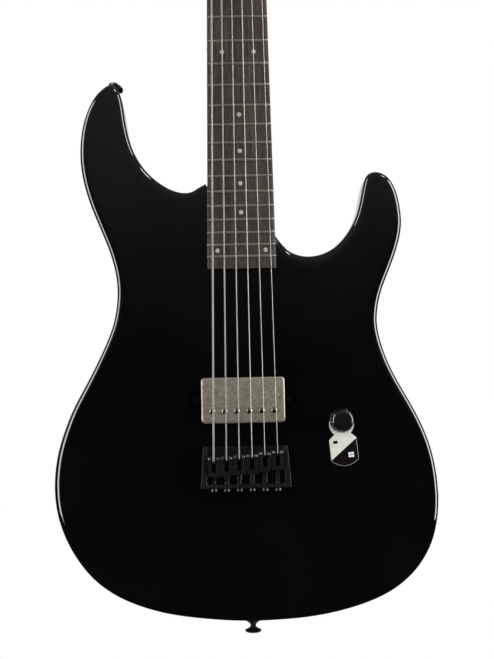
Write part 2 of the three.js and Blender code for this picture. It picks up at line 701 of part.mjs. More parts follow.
function pickupNodes() {
  const { width, height, corner, top, bottom, wall } = PICKUP;
  const plan = (wide, high, radius) => roundedRectangle(wide, high, radius, PICKUP_X, PICKUP_Z);
  const outer = plan(width, height, corner);
  const inner = plan(width - 2 * wall, height - 2 * wall, corner - wall);
  const cover = cut(slab(outer, top, bottom), slab(inner, top + wall, bottom + 1));
  const coils = slab(
    plan(width - 2 * wall - 1, height - 2 * wall - 1, 2),
    top + wall + GAP,
    bottom - GAP,
  );
  const legBottom = PICKUP_LEG.top + PICKUP_LEG.thickness;
  const legs = plan(2 * PICKUP_LEG.reach, 2 * PICKUP_LEG.halfWidth, 3);
  const holes = [-1, 1].map((side) => bar(
    pickupScrewPoint(side, 0),
    pickupScrewPoint(side, legBottom + 1),
    PICKUP_SCREW.radius + GAP,
    8,
  ));
  const baseplate = cut(
    join(slab(outer, PICKUP_LEG.top, legBottom), slab(legs, PICKUP_LEG.top, legBottom)),
    ...holes,
  );
  return [
    node('pickup_cover', cover, AGED_NICKEL()),
    node('pickup_coils', coils, BLACK_PLASTIC()),
    node('pickup_baseplate', baseplate, AGED_NICKEL()),
  ];
}

function pickupScrewNode(name, side) {
  const { radius, headRadius, headHeight, tip } = PICKUP_SCREW;
  const head = PICKUP_LEG.top - GAP - headHeight;
  const profile = [
    [0, 0], [headRadius - 0.8, 0], [headRadius, 0.8], [headRadius, headHeight],
    [radius, headHeight], [radius, tip - head - 1.5], [0, tip - head],
  ];
  const origin = pickupScrewPoint(side, head);
  return node(name, turned(profile, origin, [0, 1, 0], 10), BLACK_METAL());
}

// ---------------------------------------------------------------- controls
function knobNode() {
  const { radius, bottom, top, shoulder, boreDepth } = KNOB;
  const bore = SHAFT_RADIUS + GAP;
  const height = bottom - top;
  const profile = [
    [0, boreDepth], [bore, boreDepth], [bore, 0], [radius, 0], [radius, height - shoulder],
    [radius - 0.55, height - 0.55], [radius - shoulder, height], [0, height],
  ];
  return node('volume_knob', turned(profile, [KNOB_X, bottom, KNOB_Z], [0, -1, 0], 24), BLACK_METAL());
}

function shaftNode() {
  const tip = KNOB.bottom - KNOB.boreDepth + GAP;
  const tail = PLUNGER.top - GAP;
  const shaft = bar([KNOB_X, tip, KNOB_Z], [KNOB_X, tail, KNOB_Z], SHAFT_RADIUS, 12);
  return node('pot_shaft', shaft, STEEL());
}

function potCaseNode() {
  const { bushing, caseRadius, caseTop, caseBottom } = POT;
  const { width, height, bottom, wall } = SWITCH_BOX;
  const round = turned(
    [[0, 0], [bushing, 0], [bushing, caseTop + 1], [caseRadius, caseTop + 1],
      [caseRadius, caseBottom + 1], [0, caseBottom + 1]],
    [KNOB_X, -1, KNOB_Z],
    [0, 1, 0],
    20,
  );
  const box = block(
    KNOB_X - width / 2, KNOB_X + width / 2, caseBottom - 1, bottom,
    KNOB_Z - height / 2, KNOB_Z + height / 2,
  );
  const room = block(
    KNOB_X - width / 2 + wall, KNOB_X + width / 2 - wall, caseBottom + 1, bottom - wall,
    KNOB_Z - height / 2 + wall, KNOB_Z + height / 2 - wall,
  );
  const bore = bar([KNOB_X, -2, KNOB_Z], [KNOB_X, caseBottom + 2, KNOB_Z], SHAFT_RADIUS + GAP, 12);
  return node('pot_case', cut(join(round, box), room, bore), STEEL());
}

function plungerNode() {
  const { width, height, top, thickness } = PLUNGER;
  return node('switch_plunger', block(
    KNOB_X - width / 2, KNOB_X + width / 2, top, top + thickness,
    KNOB_Z - height / 2, KNOB_Z + height / 2,
  ), BLACK_PLASTIC());
}

// A shield below a ring round the knob's foot, leaning a little to the treble side.
function labelPlateNode() {
  const { shift, ring, ringZ, waist, half, shoulder, corner, point } = LABEL;
  const waistAngle = Math.PI * waist;
  const waistX = ring * Math.cos(waistAngle);
  const waistZ = ringZ - ring * Math.sin(waistAngle);
  const shape = new THREE.Shape();
  shape.absarc(0, ringZ, ring, -waistAngle, Math.PI + waistAngle);
  shape.bezierCurveTo(-waistX - 2, shoulder + 4, -half, shoulder + 2, -half, shoulder);
  shape.lineTo(-half, corner);
  shape.bezierCurveTo(-half / 2, point, half / 2, point, half, corner);
  shape.lineTo(half, shoulder);
  shape.bezierCurveTo(half, shoulder + 2, waistX + 2, shoulder + 4, waistX, waistZ);
  const plate = slab(shape, -GAP - LABEL_THICKNESS, -GAP, 0, 12);
  const hole = bar([-shift, -5, 0], [-shift, 1, 0], POT.bushing + GAP, 16);
  const tilted = cut(plate, hole).translate(shift, 0, 0).rotateY(-LABEL_TILT);
  return node('knob_label_plate', tilted, finish(0xd5dcd2, 0.3, 0), [KNOB_X, 0, KNOB_Z]);
}

function controlCoverNode() {
  const cover = slab(
    cavityShape(COVER_LIP - 0.4),
    BODY_THICKNESS - COVER_RECESS + GAP,
    BODY_THICKNESS,
  );
  return node('control_cover', cover, BLACK_PLASTIC());
}

// ---------------------------------------------------------------- jack
function alongJack(x0, x1, radius) {
  return bar([x0, JACK.y, JACK.z], [x1, JACK.y, JACK.z], radius, 16);
}

function jackNodes() {
  const inner = JACK.faceX - JACK.recess + GAP;
  const plate = cut(
    new THREE.ExtrudeGeometry(
      roundedRectangle(JACK_PLATE.height, JACK_PLATE.width, JACK_PLATE.corner),
      { depth: JACK_PLATE.thickness, bevelEnabled: false, curveSegments: 4 },
    ).rotateY(Math.PI / 2).translate(inner, JACK.y, JACK.z),
    alongJack(inner - 1, inner + 5, JACK.thread + GAP),
  );
  const outerFace = JACK.faceX + JACK_CASE.proud;
  const caseEnd = inner - JACK_CASE.length;
  const socket = cut(
    join(
      alongJack(caseEnd, inner - GAP, JACK_CASE.radius),
      alongJack(inner - 1, outerFace, JACK.thread),
    ),
    alongJack(caseEnd - 1, outerFace + 1, JACK.hole),
  );
  return [node('jack_plate', plate, BLACK_METAL()), node('jack_socket', socket, STEEL())];
}

// ---------------------------------------------------------------- strap buttons
// A point on the axis of the upper button's seat, at a height above the horn's surface.
function hornSeat(height) {
  const { x, y, z, direction } = HORN_SEAT;
  return [x + direction[0] * height, y + direction[1] * height, z + direction[2] * height];
}

function strapButtonNode(name, foot, direction) {
  const { base, waist, lip, height } = STRAP_BUTTON;
  const profile = [
    [0, 0], [base, 0], [base, 1.2], [waist + 1.2, 3.4], [waist, 5.2], [waist + 0.6, 6.8],
    [lip - 0.6, 8.4], [lip, 9.2], [lip - 0.3, 10.3], [lip - 2, height], [0, height],
  ];
  return node(name, turned(profile, foot, direction, 16), BLACK_METAL());
}

// ---------------------------------------------------------------- the guitar
const guitar = new THREE.Group();
guitar.add(
  bodyNode(),
  neckNode(),
  fretboardNode(),
  nutNode(),
  ...trussRodNodes(),
  headGroup(trussRodCoverNode()),
  bridgePlateNode(),
  assembly(
    ...pickupNodes(),
    pickupScrewNode('pickup_screw_bass', -1),
    pickupScrewNode('pickup_screw_treble', 1),
  ),
  assembly(knobNode(), shaftNode(), potCaseNode(), plungerNode(), labelPlateNode()),
  controlCoverNode(),
  ...jackNodes(),
  strapButtonNode('strap_button_upper', hornSeat(GAP - HORN_SEAT.depth), HORN_SEAT.direction),
  strapButtonNode(
    'strap_button_lower',
    [LOWER_BUTTON_X, BODY_THICKNESS / 2, BODY_BOTTOM - 0.4],
    [0, 0, -1],
  ),
);
for (let i = 0; i < STRINGS; i += 1) {
  guitar.add(saddleNode(i), intonationScrewNode(i), stringNode(i), headGroup(tunerGroup(i)));
}

export default guitar;
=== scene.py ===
"""The look of the electric guitar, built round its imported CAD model.

Every length below is in millimetres in the row frame, and meshes are scaled to metres when made.
"""

import math

import bmesh
import bpy
from mathutils import Matrix, Vector, geometry
from mathutils.kdtree import KDTree


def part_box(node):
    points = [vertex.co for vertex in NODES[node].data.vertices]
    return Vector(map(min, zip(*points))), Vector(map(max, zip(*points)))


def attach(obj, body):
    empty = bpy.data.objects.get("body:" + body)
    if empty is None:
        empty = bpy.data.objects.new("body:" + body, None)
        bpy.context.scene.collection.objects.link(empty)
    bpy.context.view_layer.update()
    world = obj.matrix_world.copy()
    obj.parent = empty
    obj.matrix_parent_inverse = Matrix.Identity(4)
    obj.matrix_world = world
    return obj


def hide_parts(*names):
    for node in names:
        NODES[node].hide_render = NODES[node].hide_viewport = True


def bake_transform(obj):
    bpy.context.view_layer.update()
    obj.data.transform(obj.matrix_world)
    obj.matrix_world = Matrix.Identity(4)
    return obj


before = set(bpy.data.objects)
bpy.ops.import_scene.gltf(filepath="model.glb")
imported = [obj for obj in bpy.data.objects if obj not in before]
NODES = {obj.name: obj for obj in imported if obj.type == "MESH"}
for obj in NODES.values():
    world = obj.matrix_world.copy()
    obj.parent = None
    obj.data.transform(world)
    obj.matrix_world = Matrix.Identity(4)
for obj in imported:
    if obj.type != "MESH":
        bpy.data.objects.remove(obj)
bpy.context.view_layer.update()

MM = 0.001
TAU = 2 * math.pi
FRONT, BACK, RIGHT, LEFT = (0, -1, 0), (0, 1, 0), (1, 0, 0), (-1, 0, 0)
CREASE = math.radians(35)
MERGE_METRES = 2e-5

# Design dimensions of the CAD model that its nodes' boxes don't give.
SCALE_LENGTH = 648
STRING_DIAMETERS = (1.52, 1.22, 0.91, 0.61, 0.41, 0.3)
NUT_PITCH = 7
FRETS = 24
BOARD_TOP = -9
BOARD_RADIUS = 400
NECK_TOP = -2.7
HEAD_TILT = math.radians(11)
HEAD_START = 5.3
HEAD_THICKNESS = 14.5
POST_FIRST, POST_PITCH = 38, 25.5
ROW_ANGLE = math.atan2(NUT_PITCH, POST_PITCH)
WORM = (6.6, -6.4)
BODY_THICKNESS = 44
STRING_HOLE_Z = -657.6
HORN_POINT, HORN_AXIS = (-107.7, 32, -338.4), (0.412, 0.342, 0.8446)
SEAT_DEPTH, SEAT_RADIUS = 3.6, 6.8


# ---- places from the frame
def span(node):
    """Lowest and highest corner of a CAD node, in millimetres."""
    low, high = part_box(node)
    return low / MM, high / MM


def centre(node):
    low, high = span(node)
    return (low + high) / 2


HEAD_FRAME = Matrix.Translation((0, NECK_TOP, HEAD_START)) @ Matrix.Rotation(-HEAD_TILT, 4, "X")


def tuner_frame(index):
    """The frame of a tuner: Y along its post from the headstock's back, -X out to its button."""
    x = (index - 2.5) * NUT_PITCH - 3.3 - STRING_DIAMETERS[index] / 2
    z = POST_FIRST + POST_PITCH * index
    place = Matrix.Translation((x, HEAD_THICKNESS, z))
    return HEAD_FRAME @ place @ Matrix.Rotation(ROW_ANGLE, 4, "Y")


def fret_distance(number):
    return SCALE_LENGTH * (1 - 2 ** (-number / 12))


def board_half(distance):
    return (42 + 15 * distance / 496) / 2


def crown(x):
    """Height of the fretboard's surface at a distance from the centre line."""
    return BOARD_TOP + BOARD_RADIUS - math.sqrt(BOARD_RADIUS**2 - x**2)


# ---- making pieces
def shown(name, data):
    """A new object in the scene."""
    found = bpy.data.objects.new(name, data)
    bpy.context.scene.collection.objects.link(found)
    return found


def meshed(name, part):
    """A new mesh object of a part, which is a pair of verts in millimetres and faces."""
    verts, faces = part
    mesh = bpy.data.meshes.new(name)
    mesh.from_pydata([Vector(v) * MM for v in verts], [], faces)
    return shown(name, mesh)


def piece(name, part, body, material, slot=None, replaces=()):
    """One mesh piece, riding on a CAD body."""
    found = meshed(name, part)
    found.data.validate()
    return dress(found, body, material, slot, replaces)


def dress(found, body, material, slot, replaces):
    for one in material if isinstance(material, list) else [material]:
        found.data.materials.append(one)
    found.data.shade_smooth()
    found.data.set_sharp_from_angle(angle=CREASE)
    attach(found, body)
    if replaces:
        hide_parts(*replaces)
    return found


def apply(found, kind, **settings):
    """Adds a modifier and applies it to the mesh."""
    modifier = found.modifiers.new(kind.title(), kind)
    for key, value in settings.items():
        setattr(modifier, key, value)
    depsgraph = bpy.context.evaluated_depsgraph_get()
    mesh = bpy.data.meshes.new_from_object(found.evaluated_get(depsgraph))
    found.modifiers.clear()
    old = found.data
    found.data = mesh
    bpy.data.meshes.remove(old)


def even_normals(found):
    found.data.set_sharp_from_angle(angle=CREASE)
    apply(found, "WEIGHTED_NORMAL", keep_sharp=True)


def softened(node, body, material, slot, width, segments=2, angle=30):
    """A copy of a CAD node with its sharp edges rounded."""
    found = shown(node + "_finish", NODES[node].data.copy())
    found.data.materials.clear()
    mesh = bmesh.new()
    mesh.from_mesh(found.data)
    bmesh.ops.remove_doubles(mesh, verts=mesh.verts, dist=MERGE_METRES)
    limits = {"angle_limit": math.radians(2), "delimit": {"NORMAL"}}
    bmesh.ops.dissolve_limit(mesh, verts=mesh.verts, edges=mesh.edges, **limits)
    mesh.to_mesh(found.data)
    mesh.free()
    apply(
        found,
        "BEVEL",
        width=width * MM,
        segments=segments,
        limit_method="ANGLE",
        angle_limit=math.radians(angle),
        use_clamp_overlap=True,
    )
    dress(found, body, material, slot, [node])
    apply(found, "WEIGHTED_NORMAL", keep_sharp=True)
    return found


def joined(parts):
    """Verts and faces of several meshes as one."""
    verts, faces = [], []
    for some_verts, some_faces in parts:
        start = len(verts)
        verts += some_verts
        faces += [tuple(i + start for i in face) for face in some_faces]
    return verts, faces


def moved(part, matrix):
    verts, faces = part
    return [matrix @ Vector(v) for v in verts], faces


def aimed(origin, direction):
    """A matrix that carries +Z to a direction at an origin."""
    return Matrix.Translation(origin) @ Vector(direction).to_track_quat("Z", "Y").to_matrix().to_4x4()


def lathe(profile, origin=(0, 0, 0), direction=(0, 0, 1), sides=48):
    """[radius, height] pairs turned about an axis; a radius of 0 closes the end."""
    verts, faces, rings = [], [], []
    for radius, height in profile:
        if radius < 1e-6:
            rings.append([len(verts)])
            verts.append((0, 0, height))
            continue
        rings.append(list(range(len(verts), len(verts) + sides)))
        for i in range(sides):
            angle = TAU * i / sides
            verts.append((radius * math.cos(angle), radius * math.sin(angle), height))
    for low, high in zip(rings, rings[1:]):
        for i in range(sides):
            j = (i + 1) % sides
            if len(low) == 1:
                faces.append((low[0], high[j], high[i]))
            elif len(high) == 1:
                faces.append((low[i], low[j], high[0]))
            else:
                faces.append((low[i], low[j], high[j], high[i]))
    return moved((verts, faces), aimed(origin, direction))


def arc(cx, cy, radius, start, end, steps):
    """Points of a circular arc, angles in degrees."""
    angles = [math.radians(start + (end - start) * i / steps) for i in range(steps + 1)]
    return [(cx + radius * math.cos(a), cy + radius * math.sin(a)) for a in angles]


def tube(points, radius, sides=10):
    """A round tube through points, with closed ends and no twist."""
    points = [Vector(p) for p in points]
    rings = []
    side = None
    for i, point in enumerate(points):
        before = points[max(i - 1, 0)]
        after = points[min(i + 1, len(points) - 1)]
        along = (after - before).normalized()
        if side is None:
            side = along.orthogonal().normalized()
        side = (side - along * side.dot(along)).normalized()
        other = along.cross(side)
        angles = [TAU * k / sides for k in range(sides)]
        rings.append([point + side * radius * math.cos(a) + other * radius * math.sin(a) for a in angles])
    return loft(rings)


def loft(rings):
    """Skins rings of equal size, each a list of points, and closes both ends."""
    count = len(rings[0])
    verts = [p for ring in rings for p in ring]
    faces = []
    for i in range(len(rings) - 1):
        for k in range(count):
            a, b = i * count + k, i * count + (k + 1) % count
            faces.append((a, b, b + count, a + count))
    faces.append(tuple(reversed(range(count))))
    faces.append(tuple(range(len(verts) - count, len(verts))))
    return verts, faces


def inset(outline, distance):
    """An anticlockwise outline moved inwards along its own normals."""
    result = []
    count = len(outline)
    for i, (x, z) in enumerate(outline):
        ax, az = outline[i - 1]
        bx, bz = outline[(i + 1) % count]
        first = Vector((x - ax, z - az)).normalized()
        second = Vector((bx - x, bz - z)).normalized()
        mean = (first + second).normalized()
        stretch = 1 / max(mean.dot(first), 0.5)
        result.append((x - mean.y * distance * stretch, z + mean.x * distance * stretch))
    return result


def slab(outline, y0, y1, edge=0.0, steps=4, back_edge=None):
    """A front-view outline with thickness and rounded edges; front is y0, back is y1."""
    back = edge if back_edge is None else back_edge
    rings = [[(x, y0 + down, z) for x, z in inset(outline, aside)] for aside, down in rounding(edge, steps)]
    rings += [[(x, y1 - up, z) for x, z in inset(outline, aside)] for up, aside in rounding(back, steps)]
    verts, faces = loft(rings)
    return verts, [tuple(reversed(face)) for face in faces]


def rounding(radius, steps):
    """Distances aside and down of an edge rounded by a quarter circle, from its face to its wall."""
    if not radius:
        return [(0, 0)]
    angles = [math.pi / 2 * i / steps for i in range(steps + 1)]
    return [(radius * (1 - math.sin(a)), radius * (1 - math.cos(a))) for a in angles]


def rounded_rectangle(x0, x1, z0, z1, corner, steps=6):
    points = []
    for cx, cz, start in (
        (x1 - corner, z1 - corner, 0),
        (x0 + corner, z1 - corner, 90),
        (x0 + corner, z0 + corner, 180),
        (x1 - corner, z0 + corner, 270),
    ):
        points += arc(cx, cz, corner, start, start + 90, steps)
    return points


def grown_rectangle(box, margin, corner, steps):
    """A rounded rectangle around a box's front view, or inside it when the margin is negative."""
    low, high = box
    sides = (low.x - margin, high.x + margin, low.z - margin, high.z + margin)
    return rounded_rectangle(*sides, corner, steps)


def bezier(points, steps):
    """Points of a chain of cubic Bezier curves, without the last one."""
    result = []
    for i in range(0, len(points) - 3, 3):
        p = [Vector(q) for q in points[i : i + 4]]
        for k in range(steps):
            t = k / steps
            u = 1 - t
            result.append(p[0] * u**3 + p[1] * 3 * u * u * t + p[2] * 3 * u * t * t + p[3] * t**3)
    return [(q.x, q.y) for q in result]


def cylinder(radius, length, origin, direction, sides):
    return lathe([(0, 0), (radius, 0), (radius, length), (0, length)], origin, direction, sides)


def screw_head(radius, height, origin, direction):
    """A domed screw head with a round socket sunk in it."""
    profile = [(0, 0), (radius, 0), (radius, height * 0.35)]
    profile += [(radius * math.cos(a), height * (0.35 + 0.65 * math.sin(a))) for a in (0.4, 0.8, 1.15)]
    socket = radius * 0.2
    profile += [(socket, height), (socket, height * 0.4), (0, height * 0.35)]
    return lathe(profile, origin, direction, 24)


# ---- materials
def add_node(tree, kind, inputs=None, **settings):
    """A node with its settings, and its inputs linked to sockets or set to values."""
    found = tree.nodes.new(kind)
    for key, value in settings.items():
        setattr(found, key, value)
    for key, value in (inputs or {}).items():
        if isinstance(value, bpy.types.NodeSocket):
            tree.links.new(value, found.inputs[key])
        else:
            found.inputs[key].default_value = value
    return found


class Paint:
    """A Principled material whose colour, roughness and bump come from procedural nodes."""

    def __init__(self, name, metallic=0.0, **sockets):
        self.made = bpy.data.materials.new(name)
        self.made.use_nodes = True
        self.tree = self.made.node_tree
        self.shader = self.tree.nodes["Principled BSDF"]
        self.shader.inputs["Metallic"].default_value = metallic
        for key, value in sockets.items():
            self.shader.inputs[key.replace("_", " ")].default_value = value
        self.place = self.node("ShaderNodeTexCoord").outputs["Object"]

    def node(self, kind, inputs=None, **settings):
        return add_node(self.tree, kind, inputs, **settings)

    def noise(self, scale, detail=3.0, stretch=(1, 1, 1), roughness=0.55):
        """Noise with a feature size of about 1/scale metres, drawn out along an axis by stretch."""
        place = self.node("ShaderNodeVectorMath", {0: self.place, 1: stretch}, operation="MULTIPLY")
        found = self.node(
            "ShaderNodeTexNoise",
            {"Vector": place.outputs[0], "Scale": scale, "Detail": detail, "Roughness": roughness},
        )
        return found.outputs["Fac"]

    def ramp(self, value, *stops):
        found = self.node("ShaderNodeValToRGB", {"Fac": value})
        ramp = found.color_ramp
        while len(ramp.elements) < len(stops):
            ramp.elements.new(0.5)
        for element, (place, colour) in zip(ramp.elements, stops):
            element.position = place
            element.color = (*colour, 1) if isinstance(colour, tuple) else (colour,) * 3 + (1,)
        return found.outputs["Color"]

    def mix(self, share, first, second, blend="MIX"):
        inputs = {0: share, 6: first, 7: second}
        found = self.node("ShaderNodeMix", inputs, data_type="RGBA", blend_type=blend)
        return found.outputs[2]

    def colour(self, socket):
        self.tree.links.new(socket, self.shader.inputs["Base Color"])
        return self

    def rough(self, value, low, high):
        ranged = self.node("ShaderNodeMapRange", {0: value, 1: 0.3, 2: 0.7, 3: low, 4: high})
        self.tree.links.new(ranged.outputs[0], self.shader.inputs["Roughness"])
        return self

    def bump(self, height, strength, distance=0.0002):
        inputs = {"Height": height, "Strength": strength, "Distance": distance}
        found = self.node("ShaderNodeBump", inputs)
        self.tree.links.new(found.outputs["Normal"], self.shader.inputs["Normal"])
        return self


def grey(value):
    return (value, value, value)


def lacquer():
    paint = Paint("black_lacquer", IOR=1.5)
    haze = paint.noise(18, 4)
    paint.colour(paint.ramp(haze, (0.3, (0.0009, 0.0009, 0.0012)), (0.7, (0.0018, 0.0017, 0.0019))))
    return paint.rough(haze, 0.03, 0.055).bump(paint.noise(45, 2), 0.02, 0.0004).made


def maple():
    paint = Paint("satin_maple")
    grain = paint.noise(420, 5, (1, 1, 0.03))
    figure = paint.noise(30, 3, (1, 1, 0.35))
    light = paint.ramp(grain, (0.3, (0.5, 0.31, 0.14)), (0.7, (0.66, 0.45, 0.24)))
    shade = paint.ramp(figure, (0.3, grey(0.86)), (0.7, grey(1.0)))
    paint.colour(paint.mix(1.0, light, shade, "MULTIPLY"))
    return paint.rough(grain, 0.3, 0.42).bump(grain, 0.06).made


def board_wood():
    paint = Paint("board_wood", Specular_IOR_Level=0.3)
    grain = paint.noise(700, 6, (1, 1, 0.035), 0.65)
    pores = paint.noise(2600, 2, (1, 1, 0.03))
    bands = paint.noise(90, 3, (1, 1, 0.05))
    wood = paint.ramp(
        grain, (0.3, (0.018, 0.0125, 0.01)), (0.52, (0.041, 0.03, 0.0235)), (0.75, (0.083, 0.06, 0.046))
    )
    streaks = paint.ramp(pores, (0.38, grey(0.35)), (0.5, grey(1.0)))
    tint = paint.ramp(bands, (0.3, grey(0.72)), (0.7, grey(1.15)))
    paint.colour(paint.mix(1.0, paint.mix(1.0, wood, streaks, "MULTIPLY"), tint, "MULTIPLY"))
    return paint.rough(grain, 0.55, 0.7).bump(pores, 0.35, 0.00012).made


def fine_surface(name, dark, light, rough, metallic=0.0, scale=900, bump=0.08, **sockets):
    """A nearly even surface: fine mottling, a drift of tone over centimetres and a fine bump."""
    paint = Paint(name, metallic, **sockets)
    fine = paint.noise(scale, 4)
    drift = paint.noise(70, 2)
    both = paint.mix(0.5, fine, drift)
    paint.colour(paint.ramp(both, (0.35, dark), (0.65, light)))
    return paint.rough(fine, *rough).bump(fine, bump, 0.0001).made


def aged_nickel():
    paint = Paint("aged_nickel", 0.7)
    blotch = paint.noise(160, 5, roughness=0.6)
    speck = paint.noise(900, 5, roughness=0.75)
    base = paint.ramp(blotch, (0.32, (0.245, 0.22, 0.165)), (0.7, (0.32, 0.292, 0.226)))
    stain = paint.ramp(speck, (0.38, grey(0.6)), (0.5, grey(1.0)), (0.6, grey(1.4)))
    paint.colour(paint.mix(1.0, base, stain, "MULTIPLY"))
    return paint.rough(speck, 0.5, 0.36).bump(speck, 0.2, 0.00015).made


def string_metal(index):
    """Plain steel on the treble side and wound strings on the bass side, where the ridges of the winding
    show; the base colour is painted brighter the thinner the string, a painted highlight.
    """
    paint = Paint(f"string_metal_{index + 1}", 1.0)
    tone = paint.noise(400, 3, (1, 1, 0.2))
    # Painted highlight: the thinner the string, the brighter its base colour.
    highlight_tone = (0.21, 0.2, 0.26, 0.31, 0.36, 0.46)[index]
    dark, light = [tuple(highlight_tone * share * c for c in (1, 0.95, 0.86)) for share in (0.85, 1.1)]
    paint.colour(paint.ramp(tone, (0.3, dark), (0.7, light)))
    paint.rough(tone, 0.3, 0.42)
    if index < 3:
        wind = paint.node(
            "ShaderNodeTexWave",
            {"Vector": paint.place, "Scale": 700.0 + 150 * index, "Distortion": 0.0},
            bands_direction="Z",
        )
        paint.bump(wind.outputs["Fac"], 0.5, 0.0001)
    return paint.made


LACQUER = lacquer()
MAPLE = maple()
BOARD_WOOD = board_wood()
NICKEL = aged_nickel()
BONE = fine_surface("nut_bone", (0.6, 0.55, 0.44), (0.72, 0.68, 0.58), (0.3, 0.4), scale=500)
PEARL = fine_surface("dot_pearl", (0.2, 0.2, 0.19), (0.34, 0.34, 0.32), (0.25, 0.38), scale=700)
FRET_METAL = fine_surface("fret_metal", (0.15, 0.135, 0.11), (0.24, 0.22, 0.18), (0.35, 0.48), 0.6)
STEEL = fine_surface("bright_steel", (0.42, 0.42, 0.43), (0.58, 0.58, 0.58), (0.22, 0.34), 1.0)
BLACK_METAL = fine_surface("black_metal", grey(0.004), grey(0.009), (0.1, 0.17), 0.0, 1400, 0.04)
SCREW_BLACK = fine_surface("screw_black", grey(0.03), grey(0.06), (0.2, 0.32), 0.9, 1400)
BLACK_PLASTIC = fine_surface("black_plastic", grey(0.008), grey(0.016), (0.35, 0.5), 0.0, 1100)
POLE_NICKEL = fine_surface("pole_nickel", (0.16, 0.145, 0.11), (0.24, 0.22, 0.17), (0.2, 0.28), 1.0, 1200)
KNOB_GLOSS = fine_surface("knob_gloss", grey(0.003), grey(0.006), (0.06, 0.1), 0.0, 1600, 0.02)
LABEL_PALE = fine_surface("label_pale", (0.44, 0.445, 0.385), (0.5, 0.505, 0.44), (0.2, 0.3), scale=300)
LABEL_WHITE = fine_surface("label_white", grey(0.5), grey(0.58), (0.2, 0.3), scale=300)
LABEL_DARKEST, LABEL_DARK = (0.004, 0.0025, 0.003), (0.006, 0.004, 0.0045)
LABEL_BLACK = fine_surface("label_black", LABEL_DARKEST, LABEL_DARK, (0.1, 0.18), scale=300)
BRASS = fine_surface("turned_brass", (0.5, 0.34, 0.13), (0.68, 0.5, 0.22), (0.25, 0.38), 1.0)

# Materials with their slots.
BLACK = (BLACK_METAL, "black_metal")
SCREW = (SCREW_BLACK, "black_metal")
PLASTIC = (BLACK_PLASTIC, "black_plastic")


# ---- body
EDGE = 5
ARM_FROM, ARM_TO, ARM_RADIUS = (-108.4, -530), (-84, -785), 180
SCOOP_X, SCOOP_Z, SCOOP_RIM, SCOOP_RADIUS = -232, -503, 146, 420


def wall_loop(height):
    """The body's outline where a plane at that depth cuts its walls: (x, z) points in order."""
    mesh = bmesh.new()
    mesh.from_mesh(NODES["body"].data)
    bmesh.ops.remove_doubles(mesh, verts=mesh.verts, dist=MERGE_METRES)
    cut = bmesh.ops.bisect_plane(
        mesh,
        geom=[*mesh.verts, *mesh.edges, *mesh.faces],
        plane_co=(0, height * MM, 0),
        plane_no=(0, 1, 0),
    )["geom_cut"]
    links = {}
    for edge in (g for g in cut if isinstance(g, bmesh.types.BMEdge)):
        first, second = edge.verts
        links.setdefault(first, []).append(second)
        links.setdefault(second, []).append(first)
    loops = []
    while links:
        vert = next(iter(links))
        loop = []
        while vert in links:
            loop.append((vert.co.x / MM, vert.co.z / MM))
            onward = [v for v in links.pop(vert) if v in links]
            vert = onward[0] if onward else None
        loops.append(loop)
    mesh.free()
    found = max(loops, key=len)
    return found if area(found) > 0 else found[::-1]


def area(loop):
    return sum(a[0] * b[1] - b[0] * a[1] for a, b in zip(loop, loop[1:] + loop[:1])) / 2


def corners(loop):
    """The loop without the points that lie on a straight stretch."""
    kept = []
    for i, point in enumerate(loop):
        a, b = Vector(loop[i - 1]), Vector(loop[(i + 1) % len(loop)])
        here = Vector(point)
        turn = (here - a).angle_signed(b - here, 0)
        if abs(turn) > math.radians(0.25):
            kept.append(point)
    return kept


def side_run(loop, keep):
    """The one stretch of a loop whose points pass a test."""
    count = len(loop)
    start = next(i for i in range(count) if keep(loop[i]) and not keep(loop[i - 1]))
    turned = loop[start:] + loop[:start]
    return [p for p in turned if keep(p)]


def smooth_loop(points, steps):
    """A closed Catmull-Rom curve through points."""
    result = []
    count = len(points)
    for i in range(count):
        p0, p1, p2, p3 = (Vector(points[(i + k) % count]) for k in (-1, 0, 1, 2))
        for s in range(steps):
            t = s / steps
            straight = 2 * p1 + (p2 - p0) * t
            bent = (2 * p0 - 5 * p1 + 4 * p2 - p3) * t * t
            result.append(tuple(0.5 * (straight + bent + (3 * p1 - p0 - 3 * p2 + p3) * t**3)))
    return result


def evened(loop, spacing):
    """The loop's points at even distances along it."""
    lengths = [0.0]
    for a, b in zip(loop, loop[1:] + loop[:1]):
        lengths.append(lengths[-1] + math.dist(a, b))
    count = round(lengths[-1] / spacing)
    result = []
    k = 0
    for i in range(count):
        goal = lengths[-1] * i / count
        while lengths[k + 1] < goal:
            k += 1
        share = (goal - lengths[k]) / (lengths[k + 1] - lengths[k])
        result.append(tuple(Vector(loop[k]).lerp(Vector(loop[(k + 1) % len(loop)]), share)))
    return result


def relaxed(loop, rounds):
    """The loop with its small unevenness smoothed out.

    Each second step undoes the shrinking, except beside the neck, where the corner stays round.
    """
    count = len(loop)
    for step in range(2 * rounds):
        last = [Vector(p) for p in loop]
        loop = []
        for i, point in enumerate(last):
            growing = step % 2 and abs(point.x) > 38
            middle = (last[i - 1] + last[(i + 1) % count]) / 2
            loop.append(tuple(point.lerp(middle, -0.52 if growing else 0.5)))
    return loop


def body_outline():
    """Each half is read at a depth where no scoop, seat or recess reaches the wall."""
    left = side_run(corners(wall_loop(20)), lambda p: p[0] < 0)
    right = side_run(corners(wall_loop(38)), lambda p: p[0] >= 0)
    return relaxed(evened(smooth_loop(left + right, 4), 2.2), 10)


def arm_drop(x, z):
    """How far the forearm contour lowers the front at a point."""
    (x0, z0), (x1, z1) = ARM_FROM, ARM_TO
    length = math.hypot(x1 - x0, z1 - z0)
    beyond = ((x - x0) * (z1 - z0) - (z - z0) * (x1 - x0)) / length
    if beyond <= 0:
        return 0.0
    return ARM_RADIUS - math.sqrt(ARM_RADIUS**2 - min(beyond, 75) ** 2)


